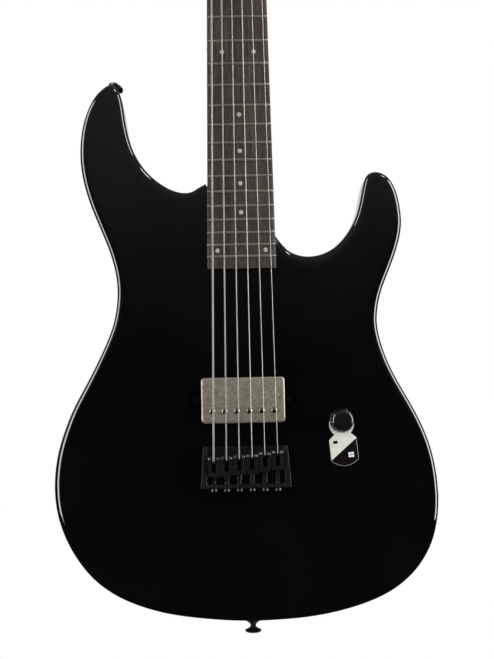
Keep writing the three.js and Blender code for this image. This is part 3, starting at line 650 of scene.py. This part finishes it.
def back_at(x, z):
    """Depth of the back's surface, which the belly scoop brings forward."""
    away = math.hypot(x - SCOOP_X, z - SCOOP_Z)
    if away >= SCOOP_RIM:
        return BODY_THICKNESS
    top = BODY_THICKNESS + math.sqrt(SCOOP_RADIUS**2 - SCOOP_RIM**2)
    return top - math.sqrt(SCOOP_RADIUS**2 - away**2)


def inside(point, loop):
    x, z = point
    odd = False
    for (ax, az), (bx, bz) in zip(loop, loop[1:] + loop[:1]):
        if (az > z) != (bz > z) and x < ax + (z - az) * (bx - ax) / (bz - az):
            odd = not odd
    return odd


def filled(loop, spacing):
    """Points and triangles that fill an outline: its own points first, then a grid."""
    near = kd_tree(loop)
    points = [Vector(p) for p in loop]
    x0, x1 = min(p[0] for p in loop), max(p[0] for p in loop)
    z0, z1 = min(p[1] for p in loop), max(p[1] for p in loop)
    for i in range(int((x1 - x0) / spacing) + 1):
        for k in range(int((z1 - z0) / spacing) + 1):
            here = (x0 + i * spacing, z0 + (k + 0.5 * (i % 2)) * spacing)
            if near.find((*here, 0))[2] > spacing * 0.5 and inside(here, loop):
                points.append(Vector(here))
    ring = [(i, (i + 1) % len(loop)) for i in range(len(loop))]
    verts, _, faces, *_ = geometry.delaunay_2d_cdt(points, ring, [], 1, 1e-5)
    assert len(verts) == len(points), "the outline crosses itself"
    return [(v.x, v.y) for v in verts], [tuple(f) for f in faces]


def kd_tree(loop):
    tree = KDTree(len(loop))
    for i, (x, z) in enumerate(loop):
        tree.insert((x, z, 0), i)
    tree.balance()
    return tree


def body_shell():
    outline = body_outline()
    count = len(outline)
    steps = 7
    verts, faces = [], []
    for aside, down in rounding(EDGE, steps):
        for x, z in inset(outline, aside):
            verts.append((x, arm_drop(x, z) + down, z))
    for up, aside in rounding(EDGE, steps):
        for x, z in inset(outline, aside):
            verts.append((x, back_at(x, z) - up, z))
    for i in range(2 * steps + 1):
        for k in range(count):
            a, b = i * count + k, i * count + (k + 1) % count
            faces.append((a, a + count, b + count, b))
    inner, triangles = filled(inset(outline, EDGE), 7)
    for is_back in (False, True):
        ring = (2 * steps + 1) * count if is_back else 0
        start = len(verts) - count
        for x, z in inner[count:]:
            verts.append((x, back_at(x, z) if is_back else arm_drop(x, z), z))
        for triangle in triangles:
            face = tuple(ring + i if i < count else start + i for i in triangle)
            faces.append(face[::-1] if is_back else face)
    found = piece("body_shell", (verts, faces), "guitar", LACQUER, "body_lacquer", ["body"])
    for cutter in body_cutters():
        carve(found, cutter)
    even_normals(found)
    return found


def combine(found, part, operation):
    """Unites a closed piece with a closed part, or cuts the part out of it."""
    tool = meshed("tool", part)
    bpy.context.view_layer.update()
    apply(found, "BOOLEAN", object=tool, operation=operation, solver="EXACT")
    bpy.data.meshes.remove(tool.data)


def carve(found, cutter):
    combine(found, cutter, "DIFFERENCE")


def body_cutters():
    low, high = span("pickup_cover")
    pickup_x, _, pickup_z = centre("pickup_cover")
    knob = centre("volume_knob")
    cover = span("control_cover")
    socket = centre("jack_socket")
    middle = BODY_THICKNESS / 2
    cavity = rounded_rectangle(low.x - 1.1, high.x + 1.1, low.z - 1, high.z + 1, 3.6)
    ears = rounded_rectangle(pickup_x - 44.6, pickup_x + 44.6, pickup_z - 7, pickup_z + 7, 5.5)
    pocket = slab([(-28.6, -493.4), (28.6, -493.4), (28.6, -400), (-28.6, -400)], -1, 16)
    recess = rounded_rectangle(socket.z - 19.4, socket.z + 19.4, middle - 12.9, middle + 12.9, 5)
    yield slab(grown_rectangle(cover, -5.6, 16, 8), 7, 43)
    yield slab(grown_rectangle(cover, 0.4, 22, 12), 41.3, 46)
    yield loft([[(x, y, z) for z, y in recess] for x in (156.6, 170)])
    yield cylinder(11, 38, (121, middle, socket.z), RIGHT, 32)
    yield cylinder(4.9, 9, (knob.x, 8, knob.z), FRONT, 32)
    yield slab(cavity, -2, 22)
    yield slab(ears, -1.5, 21.9)
    yield pocket
    for side in (-1, 1):
        place = (pickup_x + side * 39.6, 21, pickup_z)
        yield cylinder(1.8, 18.5, place, BACK, 16)
    for index in range(6):
        place = (centre(f"saddle_{index + 1}").x, 45, STRING_HOLE_Z)
        yield cylinder(3.6, 6, place, FRONT, 24)
    yield cylinder(SEAT_RADIUS, 9, horn_seat(), HORN_AXIS, 40)


def horn_seat(height=0.0):
    """A point on the axis of the upper strap button, at a height over the floor of its seat."""
    return Vector(HORN_POINT) + Vector(HORN_AXIS) * (height - SEAT_DEPTH)


# ---- neck
def head_front(z):
    """Depth of the headstock's face, or of the neck's flat top, at a height."""
    return NECK_TOP + max(0, z - HEAD_START) * math.tan(HEAD_TILT)


def neck_back(distance):
    to_heel = min(max(distance / 408, 0), 1)
    shaft = 13.2 + 1.6 * to_heel
    depth = shaft + (18.4 - shaft) * smoothstep(distance, 408, 452)
    line = NECK_TOP + depth
    head = NECK_TOP + HEAD_THICKNESS / math.cos(HEAD_TILT)
    head += (-distance - 2.5) * math.tan(HEAD_TILT)
    gap = (line - head) / 5
    return line + 5 * math.log1p(math.exp(-gap)) if distance < 80 else line


def smoothstep(value, low, high):
    t = min(max((value - low) / (high - low), 0), 1)
    return t * t * (3 - 2 * t)


def neck_ring(z):
    """A D-shaped section that squares off at the heel and at the headstock."""
    distance = -z
    half = board_half(max(distance, 0))
    top = head_front(z)
    shoulder = 2.0
    depth = neck_back(distance) - top - shoulder
    near_head = 4 * smoothstep(z, -24, 4)
    bass = 2.15 + 9 * smoothstep(distance, 402, 436) + near_head
    treble = 2.15 + 9 * smoothstep(distance, 436, 474) + near_head
    ring = [(-half, top, z)]
    count = 44
    for i in range(count + 1):
        angle = math.pi * i / count
        power = 2 / (bass if i < count / 2 else treble)
        across = -math.copysign(abs(math.cos(angle)) ** power, math.cos(angle))
        down = abs(math.sin(angle)) ** power
        ring.append((half * across, top + shoulder + depth * down, z))
    ring.append((half, top, z))
    return ring


def head_outline():
    """The headstock's outline in its own plane, anticlockwise from the nut's bass end."""
    chain = [
        (21, -2), (21, -1), (21, 2), (21, 3), (21.5, 16), (28.5, 22), (30, 42),
        (33, 82), (27, 132), (31.5, 168), (33, 179), (27, 187.5), (17, 189),
        (9, 190), (2.5, 185), (0.5, 176), (-11, 126), (-23, 75), (-34.5, 24),
        (-33, 12), (-21.5, 12), (-21, 3), (-21, 2), (-21, -1), (-21, -2),
    ]
    return bezier(chain, 12) + [(-21, -2)]


def neck():
    zs = [-493 + 4 * i for i in range(118)] + [-20 + 1.5 * i for i in range(19)]
    shaft = loft([neck_ring(z) for z in reversed(zs)])
    head = slab(head_outline(), 0, HEAD_THICKNESS, 1.3, 4)
    found = piece("neck_finish", shaft, "guitar", [MAPLE, LACQUER], "neck_maple", ["neck"])
    combine(found, moved(head, HEAD_FRAME), "UNION")
    carve(found, slab([(-4, -30), (4, -30), (4, 30), (-4, 30)], -6, 8.2))
    for index in range(6):
        hole = lathe([(0, -1), (4.9, -1), (4.9, 16), (0, 16)], (0, 0, 0), FRONT, 24)
        carve(found, moved(hole, tuner_frame(index)))
    face = HEAD_FRAME.to_3x3() @ Vector(FRONT)
    for polygon in found.data.polygons:
        above = polygon.center.z > HEAD_START * MM
        polygon.material_index = int(above and polygon.normal.dot(face) > 0.5)
    even_normals(found)
    return found


def fretboard():
    """Crowned across, with its long edges and its ends slightly rounded."""
    low, high = span("fretboard")
    across = [-1, -0.985, -0.94, -0.85, -0.7, -0.5, -0.25, 0, 0.25, 0.5, 0.7, 0.85, 0.94, 0.985, 1]
    rings = []
    for step in range(63):
        z = high.z + (low.z - high.z) * step / 62
        half = board_half(-z)
        ease = 0.25 if step in (0, 62) else 0
        ring = [(-half + ease, high.y, z), (half - ease, high.y, z)]
        for share in reversed(across):
            x = share * (half - ease)
            edge = 0.45 * max(0, (abs(x) - half + 0.9) / 0.9) ** 2
            ring.append((x, crown(x) + edge + ease, z))
        rings.append(ring)
    return piece("fretboard_finish", loft(rings), "guitar", BOARD_WOOD, "board_wood", ["fretboard"])


def fret(distance):
    """A fret's bead: half an ellipse, following the board's crown, with rounded ends."""
    half = board_half(distance) + 0.35
    rings = []
    count = 28
    for i in range(count + 1):
        share = -1 + 2 * i / count
        x = half * share
        end = max(0.0, (abs(share) - 0.955) / 0.045)
        shrink = math.sqrt(max(1 - end**2, 0.04))
        ring = []
        for k in range(9):
            angle = math.pi * k / 8
            up = 1.1 * math.sin(angle) * shrink
            ring.append((x, crown(x) + 0.12 - up, -distance + 1.0 * math.cos(angle) * shrink))
        rings.append(ring)
    return loft(rings)


def frets():
    parts = [fret(fret_distance(number)) for number in range(1, FRETS + 1)]
    found = piece("frets", joined(parts), "guitar", [FRET_METAL, STEEL])
    # Both ends of each fret take the brighter steel: polished ends, with a painted glint in their brighter
    # colour.
    for polygon in found.data.polygons:
        x, _, z = polygon.center / MM
        polygon.material_index = int(abs(x) > board_half(-z) - 0.7)


def dot(x, z):
    radius = 1.85
    profile = [(0, -0.5), (radius, -0.5), (radius, 0.02), (radius - 0.06, 0.06), (0, 0.07)]
    return lathe(profile, (x, crown(x), z), FRONT, 28)


def dots():
    """Dots in the board's face, and small ones in its bass edge; doubled at each octave."""
    parts, marks = [], []
    for number in (3, 5, 7, 9, 12, 15, 17, 19, 21, 24):
        middle = (fret_distance(number - 1) + fret_distance(number)) / 2
        spread = {12: 13.2, 24: 19.7}.get(number, 0)
        parts += [dot(x, -middle) for x in ((-spread, spread) if spread else (0,))]
        for shift in (-3, 3) if spread else (0,):
            place = (-board_half(middle) + 0.4, -6.2, -middle + shift)
            profile = [(0, 0), (1.1, 0), (1.1, 0.42), (1.0, 0.47), (0, 0.48)]
            marks.append(lathe(profile, place, LEFT, 18))
    piece("fret_dots", joined(parts), "guitar", PEARL)
    piece("side_dots", joined(marks), "guitar", PEARL)


def headstock_trim():
    softened("nut", "guitar", BONE, "nut_bone", 0.5)
    softened("truss_rod_cover", "guitar", *PLASTIC, 0.5, angle=50)
    softened("truss_rod_nut", "truss_rod_nut", BRASS, "brass", 0.3)
    parts = []
    for x, z in ((-5.5, 8), (5.5, 8), (0, 30)):
        screw = screw_head(1.5, 0.9, (x, -2.0, z), FRONT)
        parts.append(moved(screw, HEAD_FRAME))
    piece("truss_rod_cover_screws", joined(parts), "guitar", *SCREW)


# ---- tuners
def tuner(index):
    number = index + 1
    matrix = tuner_frame(index)
    housing, button, post = (f"tuner_{part}_{number}" for part in ("housing", "button", "post"))
    softened(housing, "guitar", *BLACK, 0.7, segments=3, angle=40)
    grip = moved(button_shape(), matrix)
    piece(f"{button}_finish", grip, button, *BLACK, [button])
    tip = -HEAD_THICKNESS - 17
    wrap = -HEAD_THICKNESS - 9
    profile = [(0, tip), (2.3, tip), (2.8, tip + 0.25), (3, tip + 0.8), (3, wrap - 4)]
    profile += [(2.6, wrap - 2), (2.6, wrap + 2), (3, wrap + 4), (3, 8.5), (0, 8.5)]
    spindle = moved(lathe(profile, direction=BACK, sides=32), matrix)
    piece(f"{post}_finish", spindle, post, *BLACK, [post])
    profile = [(3.4, 0), (7.2, 0), (7.2, 0.5), (6.9, 0.8), (5.6, 0.9), (5.3, 2.2)]
    profile += [(4.9, 2.6), (3.4, 2.6), (3.4, 0)]
    collar = lathe(profile, (0, -HEAD_THICKNESS - 0.02, 0), FRONT, 36)
    screws = [screw_head(1.5, 0.9, (0.8 + s, 0.1, -11.8), BACK) for s in (-4.5, 5.5)]
    trim = moved(joined([collar, *screws]), matrix)
    piece(f"tuner_trim_{number}", trim, "guitar", *BLACK)
    cap = moved(screw_head(2.1, 0.9, (-34.3 + 1.9, *WORM), LEFT), matrix)
    piece(f"tuner_button_cap_{number}", cap, button, *SCREW)


def button_shape():
    """A rounded button on a waisted stem, about the worm's axis."""
    y, z = WORM
    profile = [(0, 0), (2.4, 0), (2.4, 12.5), (3.4, 13), (3.4, 14.5), (2.3, 15.5), (2.6, 20.5)]
    stem = lathe([*profile, (0, 20.5)], (3, y, z), LEFT, 28)
    chain = [
        (-17, -3.6), (-18, -8), (-20, -9.5), (-24, -9.5), (-30, -9.5), (-32.5, -5),
        (-32.5, 0), (-32.5, 5), (-30, 9.5), (-24, 9.5), (-20, 9.5), (-18, 8),
        (-17, 3.6), (-17.6, 1.5), (-17.6, -1.5), (-17, -3.6),
    ]
    outline = [(x, z + side) for x, side in reversed(bezier(chain, 8))]
    return joined([stem, slab(outline, y - 3.5, y + 3.5, 2.4, 5)])


# ---- strings
def string_route(index):
    """Points from the anchor under the bridge over the saddle and nut to the post."""
    radius = STRING_DIAMETERS[index] / 2
    saddle_low, saddle_high = span(f"saddle_{index + 1}")
    x = centre(f"saddle_{index + 1}").x
    edge = saddle_high.z - 4
    top = saddle_low.y
    lift = radius + 0.06
    tail = [Vector((x, y, STRING_HOLE_Z)) for y in (36, 20, 4, -2.6)]
    lean = Vector((x, top + 0.9, edge - lift - 0.25))
    tail += [tail[-1].lerp(lean, t) for t in (0.25, 0.5, 0.75)]
    bend = 1.3
    for i in range(7):
        angle = math.pi / 2 * i / 6
        out = (lift + bend) * (1 - math.cos(angle))
        tail.append(Vector((x, top + bend - (lift + bend) * math.sin(angle), edge - lift + out - 0.15)))
    seat = Vector((x, top - lift, saddle_high.z - 1.6))
    nut_x = (index - 2.5) * NUT_PITCH
    nut_y = BOARD_TOP - 1.1 - 0.6 - radius
    rest = Vector((nut_x, nut_y, 0))
    return tail + [seat], seat, rest


def post_turns(index, start):
    """The string behind the nut and its turns on the post."""
    radius = STRING_DIAMETERS[index] / 2
    matrix = tuner_frame(index)
    reach = 2.6 + radius + 0.05
    height = -HEAD_THICKNESS - 8.5
    back = matrix.inverted() @ start
    angle0 = math.atan2(back.z, back.x)
    away = math.hypot(back.x, back.z)
    touch = angle0 + math.acos(min(reach / away, 1))
    points = []
    turns = 2.6
    count = int(20 * turns)
    drop = 2 * radius * 1.05
    for i in range(count + 1):
        share = i / count
        angle = touch + TAU * turns * share
        depth = height + min(drop * turns, 3.6) * share
        points.append(matrix @ Vector((reach * math.cos(angle), depth, reach * math.sin(angle))))
    return points


def strings():
    for index in range(6):
        number = index + 1
        metal = string_metal(index)
        radius = STRING_DIAMETERS[index] / 2
        tail, seat, rest = string_route(index)
        main = [seat.lerp(rest, i / 48) for i in range(49)]
        leave = Vector((rest.x, rest.y + 0.1, 4.2))
        main.append(leave)
        turns = post_turns(index, leave)
        main += [leave.lerp(turns[0], t) for t in (0.33, 0.66)] + turns
        run = bare_piece(f"string_main_{number}", tube(main, radius, 12), metal)
        still, moving = (seat * MM + Vector((0, 0, up)) for up in (0.07, 0.008))
        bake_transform(run)
        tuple(still)
        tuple(moving)
        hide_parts(f"string_{number}")
        low = bare_piece(f"string_tail_{number}", tube(tail, radius, 12), metal)
        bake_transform(low)


def bare_piece(name, part, material):
    """A mesh piece that isn't riding on anything yet."""
    found = meshed(name, part)
    found.data.materials.append(material)
    found.data.shade_smooth()
    found.data.set_sharp_from_angle(angle=math.radians(50))
    return found


# ---- bridge
def bridge():
    softened("bridge_plate", "guitar", *BLACK, 0.45)
    ferrules = []
    for index in range(6):
        saddle(index)
        x = centre(f"saddle_{index + 1}").x
        profile = [(1.2, -5), (3.4, -5), (3.4, 0), (4.6, 0), (4.6, 0.35), (4.2, 0.7)]
        profile += [(2.0, 0.7), (1.5, -0.4), (1.2, -5)]
        ferrules.append(lathe(profile, (x, BODY_THICKNESS, STRING_HOLE_Z), BACK, 32))
    piece("string_ferrules", joined(ferrules), "guitar", *SCREW)


def saddle(index):
    number = index + 1
    body = f"saddle_{number}"
    low, high = span(body)
    screw = f"intonation_screw_{number}"
    screw_low, screw_high = span(screw)
    x = (low.x + high.x) / 2
    screw_y = (screw_low.y + screw_high.y) / 2
    softened(body, body, *BLACK, 0.35, angle=25)
    grubs = []
    for side in (-1, 1):
        place = (x + side * 3.3, low.y + 0.45, high.z - 2.4)
        profile = [(0, 0), (1.1, 0), (1.1, 0.55), (0.95, 0.7), (0.6, 0.7), (0.6, 0.2), (0, 0.2)]
        grubs.append(lathe(profile, place, FRONT, 24))
    piece(f"saddle_grubs_{number}", joined(grubs), body, STEEL, "black_metal")
    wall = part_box("bridge_plate")[0].z / MM + 3
    coil = spring((x, screw_y, wall + 0.15), (x, screw_y, low.z - 0.15), 1.95, 0.36, 6)
    found = bare_piece(f"saddle_spring_{number}", coil, SCREW_BLACK)
    still, moving = (Vector((x, screw_y, z)) * MM for z in (wall, low.z))
    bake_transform(found)
    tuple(still)
    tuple(moving)
    head = screw_low.z
    profile = [(0, 0.9), (0.55, 0.9), (0.7, 0), (2.0, 0), (2.6, 0.45), (2.6, 2.3), (2.3, 2.6), (1.1, 2.6)]
    height = 3.0
    while height < screw_high.z - head - 0.5:
        profile += [(1.02, height), (1.25, height + 0.22)]
        height += 0.5
    profile.append((0, screw_high.z - head))
    turned = lathe(profile, (x, screw_y, head), sides=24)
    piece(f"{screw}_finish", turned, screw, SCREW_BLACK, "steel", [screw])


def spring(start, end, radius, wire, turns):
    start, end = Vector(start), Vector(end)
    points = []
    count = turns * 16
    for i in range(count + 1):
        share = i / count
        angle = TAU * turns * share
        point = start.lerp(end, share)
        points.append(point + Vector((radius * math.cos(angle), radius * math.sin(angle), 0)))
    return tube(points, wire, 7)


# ---- pickup
def pickup():
    low, high = span("pickup_cover")
    outline = rounded_rectangle(low.x, high.x, low.z, high.z, 3.2, 8)
    cover = slab(outline, low.y, high.y, 1.5, 5, 0.3)
    piece("pickup_cover_finish", cover, "pickup", NICKEL, "aged_nickel", ["pickup_cover"])
    poles = []
    for index in range(6):
        x = (low.x + high.x) / 2 + (index - 2.5) * 10.2
        profile = [(0, -0.4), (2.3, -0.4), (2.3, 0.35), (1.95, 0.75), (1.2, 0.95)]
        profile += [(0.35, 1.0), (0.35, 0.5), (0, 0.5)]
        poles.append(lathe(profile, (x, low.y, -614), FRONT, 32))
    piece("pole_screws", joined(poles), "pickup", POLE_NICKEL, "aged_nickel")
    softened("pickup_baseplate", "pickup", *BLACK, 0.25, angle=60)
    for name in ("bass", "treble"):
        node = f"pickup_screw_{name}"
        head_low, head_high = span(node)
        middle = centre(node)
        profile = [(0, 0.9), (0.7, 0.9), (0.9, 0), (2.0, 0), (2.7, 0.6), (2.9, 1.4), (2.9, 2.2)]
        length = head_high.y - head_low.y
        profile += [(1.45, 2.2), (1.45, length - 1.5), (0, length)]
        turned = lathe(profile, (middle.x, head_low.y, middle.z), BACK, 28)
        piece(f"{node}_finish", turned, node, *SCREW, [node])


# ---- controls
def knob():
    low, high = span("volume_knob")
    middle = centre("volume_knob")
    height = high.y - low.y
    radius = (high.x - low.x) / 2
    profile = [(3.3, 12), (3.3, 0), (radius - 0.4, 0), (radius, 0.4), (radius, 1.6)]
    profile += [(9.3, 2.3), (9.05, 3.2), (9, 5)]
    profile += arc(6, height - 3.1, 3, 0, 90, 12)
    profile += [(3, height - 0.02), (0, height)]
    origin = (middle.x, high.y, middle.z)
    found = lathe(profile, origin, FRONT, 72)
    piece("volume_knob_finish", found, "volume", KNOB_GLOSS, "knob_gloss", ["volume_knob"])


def label():
    """A pale plate: a ring under the knob and a shield with two fields and plain marks on them."""
    knob_x, _, knob_z = centre("volume_knob")
    tilt = Matrix.Rotation(math.radians(-5.5), 4, "Y")
    turn = Matrix.Translation((knob_x, 0, knob_z)) @ tilt @ Matrix.Translation((-0.9, 0, 0))
    front, back = -1.2, -0.3
    outline = label_outline()
    plate = slab(outline, front, back, 0.15, 2)
    base = piece("knob_label_finish", moved(plate, turn), "guitar", LABEL_WHITE, "label_enamel")
    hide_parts("knob_label_plate")
    field = inset(outline, 0.18)
    fields = (
        ("pale", LABEL_PALE, ((11.4, -14.9), (-11.4, -31.3)), 1),
        ("dark", LABEL_BLACK, ((11.4, -15.4), (-11.4, -31.8)), -1),
    )
    for name, material, across, side in fields:
        made = slab(clipped(field, across, side), front - 0.06, front + 0.1)
        piece(f"knob_label_{name}_field", moved(made, turn), "guitar", material, "label_enamel")
    dark = [bar_mark(-6.3, -17.2, 3.6, 2.5)]
    pale = [bar_mark(4.3, -27.6, 2, 2), bar_mark(6.7, -27.6, 2, 2), bar_mark(5.5, -29.9, 4.6, 1.5)]
    white = [bar_mark(-5.9, -19.4, 3.4, 0.7)]
    marks = (("dark", LABEL_BLACK, dark), ("pale", LABEL_WHITE, pale + white))
    for name, material, shapes in marks:
        made = joined([slab(shape, front - 0.12, front) for shape in shapes])
        piece(f"knob_label_{name}_mark", moved(made, turn), "guitar", material, "label_enamel")


def label_outline():
    """Anticlockwise in the label's own frame, with its origin 0.9 mm beside the knob's axis."""
    ring, ring_z, waist, half = 10.15, -3.1, math.radians(49), 11.3
    points = arc(0.4, ring_z, ring, -math.degrees(waist), 180 + math.degrees(waist), 40)
    points += [(-half + 0.7, -14.3), (-half + 0.15, -14.9), (-half, -15.7)]
    points += [(-half, -20), (-half, -26), (-half, -31.2)]
    points += arc(0, -22.4, 14.9, 220, 320, 18)
    points += [(half, -31.2), (half, -26), (half, -20), (half, -15.4), (half - 0.3, -14.7)]
    return points


def bar_mark(x, z, width, height):
    """A plain rectangle by its centre."""
    x0, x1, z0, z1 = x - width / 2, x + width / 2, z - height / 2, z + height / 2
    return [(x0, z0), (x1, z0), (x1, z1), (x0, z1)]


def clipped(outline, line, sign):
    """The part of an outline on one side of a line."""
    (ax, az), (bx, bz) = line

    def side(point):
        return -sign * ((bx - ax) * (point[1] - az) - (bz - az) * (point[0] - ax))

    result = []
    for here, after in zip(outline, outline[1:] + outline[:1]):
        first, second = side(here), side(after)
        if first >= 0:
            result.append(here)
        if (first >= 0) != (second >= 0):
            t = first / (first - second)
            result.append(tuple(a + t * (b - a) for a, b in zip(here, after)))
    return result


def back_cover():
    softened("control_cover", "guitar", *PLASTIC, 0.4, angle=50)
    low, high = span("control_cover")
    spots = [
        (low.x + 14, high.z - 3.4), (high.x - 14, high.z - 3.4),
        (low.x + 14, low.z + 3.4), (high.x - 14, low.z + 3.4),
        (low.x + 3.4, (low.z + high.z) / 2), (high.x - 3.4, (low.z + high.z) / 2),
    ]
    parts = [screw_head(2.6, 1.0, (x, high.y - 0.05, z), BACK) for x, z in spots]
    piece("control_cover_screws", joined(parts), "guitar", *SCREW)


def jack():
    softened("jack_plate", "guitar", *BLACK, 0.5, angle=50)
    low, high = span("jack_plate")
    socket_low, socket_high = span("jack_socket")
    y, z = (low.y + high.y) / 2, (low.z + high.z) / 2
    parts = [
        screw_head(2.2, 0.9, (high.x - 0.05, y + dy, z + dz), RIGHT)
        for dy in (-8.8, 8.8) for dz in (-15.2, 15.2)
    ]
    piece("jack_plate_screws", joined(parts), "guitar", *SCREW)
    length = socket_high.x - socket_low.x
    profile = [(3.3, 0), (8.5, 0), (8.5, 15.7), (4.7, 15.7), (4.7, length - 0.3), (4.4, length)]
    profile += [(3.6, length), (3.3, length - 0.3), (3.3, 0)]
    body = lathe(profile, (socket_low.x, y, z), RIGHT, 40)
    piece("jack_socket_finish", body, "guitar", STEEL, "steel", ["jack_socket"])
    washer = [(4.8, 0), (7.2, 0), (7.2, 0.35), (7, 0.5), (4.8, 0.5), (4.8, 0)]
    hexagon = [(4.8, 0.5), (6.6, 0.5), (6.6, 1.7), (6.2, 2.0), (4.8, 2.0), (4.8, 0.5)]
    turned = [lathe(p, (high.x, y, z), RIGHT, n) for p, n in ((washer, 40), (hexagon, 6))]
    piece("jack_nut", joined(turned), "guitar", STEEL, "steel")


def strap_buttons():
    lower = centre("strap_button_lower")
    foot_z = span("strap_button_lower")[1].z
    ends = (
        ("strap_button_lower", (lower.x, lower.y, foot_z), (0, 0, -1)),
        ("strap_button_upper", horn_seat(0.3), HORN_AXIS),
    )
    for node, foot, axis in ends:
        profile = [(0, 0), (6, 0), (6, 1.1), (5.3, 2.2), (3.8, 3), (2.8, 3.9), (2.3, 5.2), (2.6, 6.5)]
        profile += [(3.6, 7.4), (5, 8), (6.3, 8.5), (6.8, 9.2), (6.7, 10.1), (5.9, 10.9), (4.6, 11.4)]
        profile += [(3.4, 11.6), (2.9, 11.3), (2.9, 10), (0, 10)]
        turned = lathe(profile, foot, axis, 56)
        piece(f"{node}_finish", turned, "guitar", *BLACK, [node])
        seat = Vector(foot) + Vector(axis).normalized() * 9.9
        head = screw_head(2.7, 1.5, seat, axis)
        piece(f"{node}_screw", head, "guitar", *SCREW)


def neck_screws():
    screws, washers = [], []
    for x, z in ((-18, -439), (-18, -481), (14, -463), (18, -484)):
        place = (x, BODY_THICKNESS - 0.02, z)
        profile = [(2, 0), (7, 0), (7, 0.5), (6.6, 0.9), (5, 1.1), (4.6, 0.6), (2, 0.6), (2, 0)]
        washers.append(lathe(profile, place, BACK, 40))
        screws.append(screw_head(4.2, 1.4, (x, BODY_THICKNESS + 0.5, z), BACK))
    piece("neck_screws", joined(screws), "guitar", *SCREW)
    piece("neck_screw_ferrules", joined(washers), "guitar", *BLACK)


def hidden_nodes():
    """CAD nodes that stay as they are, inside the guitar, with their own materials."""
    for node, material in (
        ("truss_rod", STEEL), ("pickup_coils", BLACK_PLASTIC), ("pot_case", STEEL),
        ("pot_shaft", STEEL), ("switch_plunger", BLACK_PLASTIC),
    ):
        slots = NODES[node].data.materials
        slots.clear()
        slots.append(material)


# ---- studio
LIT_MIDDLE = Vector((0, 0, -0.45))


def area_light(name, place, width, height, power):
    light = bpy.data.lights.new(name, "AREA")
    light.shape = "RECTANGLE"
    light.size, light.size_y = width, height
    light.energy = power
    found = shown(name, light)
    found.location = place
    aim = LIT_MIDDLE - Vector(place)
    found.rotation_euler = aim.to_track_quat("-Z", "Y").to_euler()


def studio():
    """Two tall soft boxes and a small one in a white room, of which gloss mirrors a dark front."""
    world = bpy.data.worlds.new("studio")
    bpy.context.scene.world = world
    world.use_nodes = True
    tree = world.node_tree

    def add(kind, values=None, output=0, **settings):
        return add_node(tree, kind, values, **settings).outputs[output]

    rays = tree.nodes.new("ShaderNodeLightPath").outputs
    split = tree.nodes.new("ShaderNodeSeparateXYZ")
    tree.links.new(add("ShaderNodeTexCoord", output="Generated"), split.inputs[0])
    smooth = {"interpolation_type": "SMOOTHSTEP"}
    y, z = split.outputs["Y"], split.outputs["Z"]
    behind = add("ShaderNodeMapRange", {0: y, 1: 0.86, 2: 0.97, 3: 0.006, 4: 0.85}, **smooth)
    above = add("ShaderNodeMapRange", {0: z, 1: 0.04, 2: 0.27, 3: 0.006, 4: 0.26}, **smooth)
    gloss = add("ShaderNodeMath", {0: behind, 1: above}, operation="MAXIMUM")
    kinds = {"data_type": "FLOAT"}
    lit = add("ShaderNodeMix", {0: rays["Is Glossy Ray"], 2: 0.5, 3: gloss}, **kinds)
    seen = add("ShaderNodeMix", {0: rays["Is Camera Ray"], 2: lit, 3: 1.0}, **kinds)
    background = tree.nodes["Background"]
    background.inputs["Color"].default_value = (1, 1, 1, 1)
    tree.links.new(seen, background.inputs["Strength"])
    area_light("box_left", (-1.6, -0.42, -0.15), 0.75, 1.8, 46)
    area_light("box_right", (1.6, -0.42, -0.15), 0.75, 1.8, 62)
    area_light("small_box", (0.84, -0.56, 0.74), 0.22, 0.22, 6)


def floor():
    """A wide pale disc well below, kept out of the gloss so that the underside stays dark."""
    mesh = bpy.data.meshes.new("floor")
    disc = bmesh.new()
    level = Matrix.Translation((0, 0, -1.5))
    bmesh.ops.create_circle(disc, cap_ends=True, segments=128, radius=2.0, matrix=level)
    disc.to_mesh(mesh)
    disc.free()
    found = shown("floor", mesh)
    paint = Paint("pale_floor", Roughness=0.9, Specular_IOR_Level=0.0)
    paint.colour(paint.ramp(paint.noise(3), (0.3, grey(0.93)), (0.7, grey(0.95))))
    mesh.materials.append(paint.made)
    found.visible_glossy = False


def camera():
    """A long lens a little above the bridge, nearly square to the front."""
    data = bpy.data.cameras.new("camera")
    data.sensor_width = 36
    data.lens = 79.79
    found = shown("camera", data)
    right = Vector((0.999715, -0.013419, -0.019758))
    up = Vector((0.018774, -0.06982, 0.997383))
    back = right.cross(up)
    matrix = Matrix((right, up, back)).transposed().to_4x4()
    matrix.translation = (-0.0146, -1.2101, -0.6308)
    found.matrix_world = matrix
    bpy.context.scene.camera = found


def build():
    for make in (camera, studio, floor, body_shell, neck, fretboard, frets, dots, headstock_trim):
        make()
    for index in range(6):
        tuner(index)
    for make in (strings, bridge, pickup, knob, label, back_cover, jack, strap_buttons, neck_screws):
        make()
    hidden_nodes()


build()
bpy.context.scene.view_settings.view_transform = "Standard"
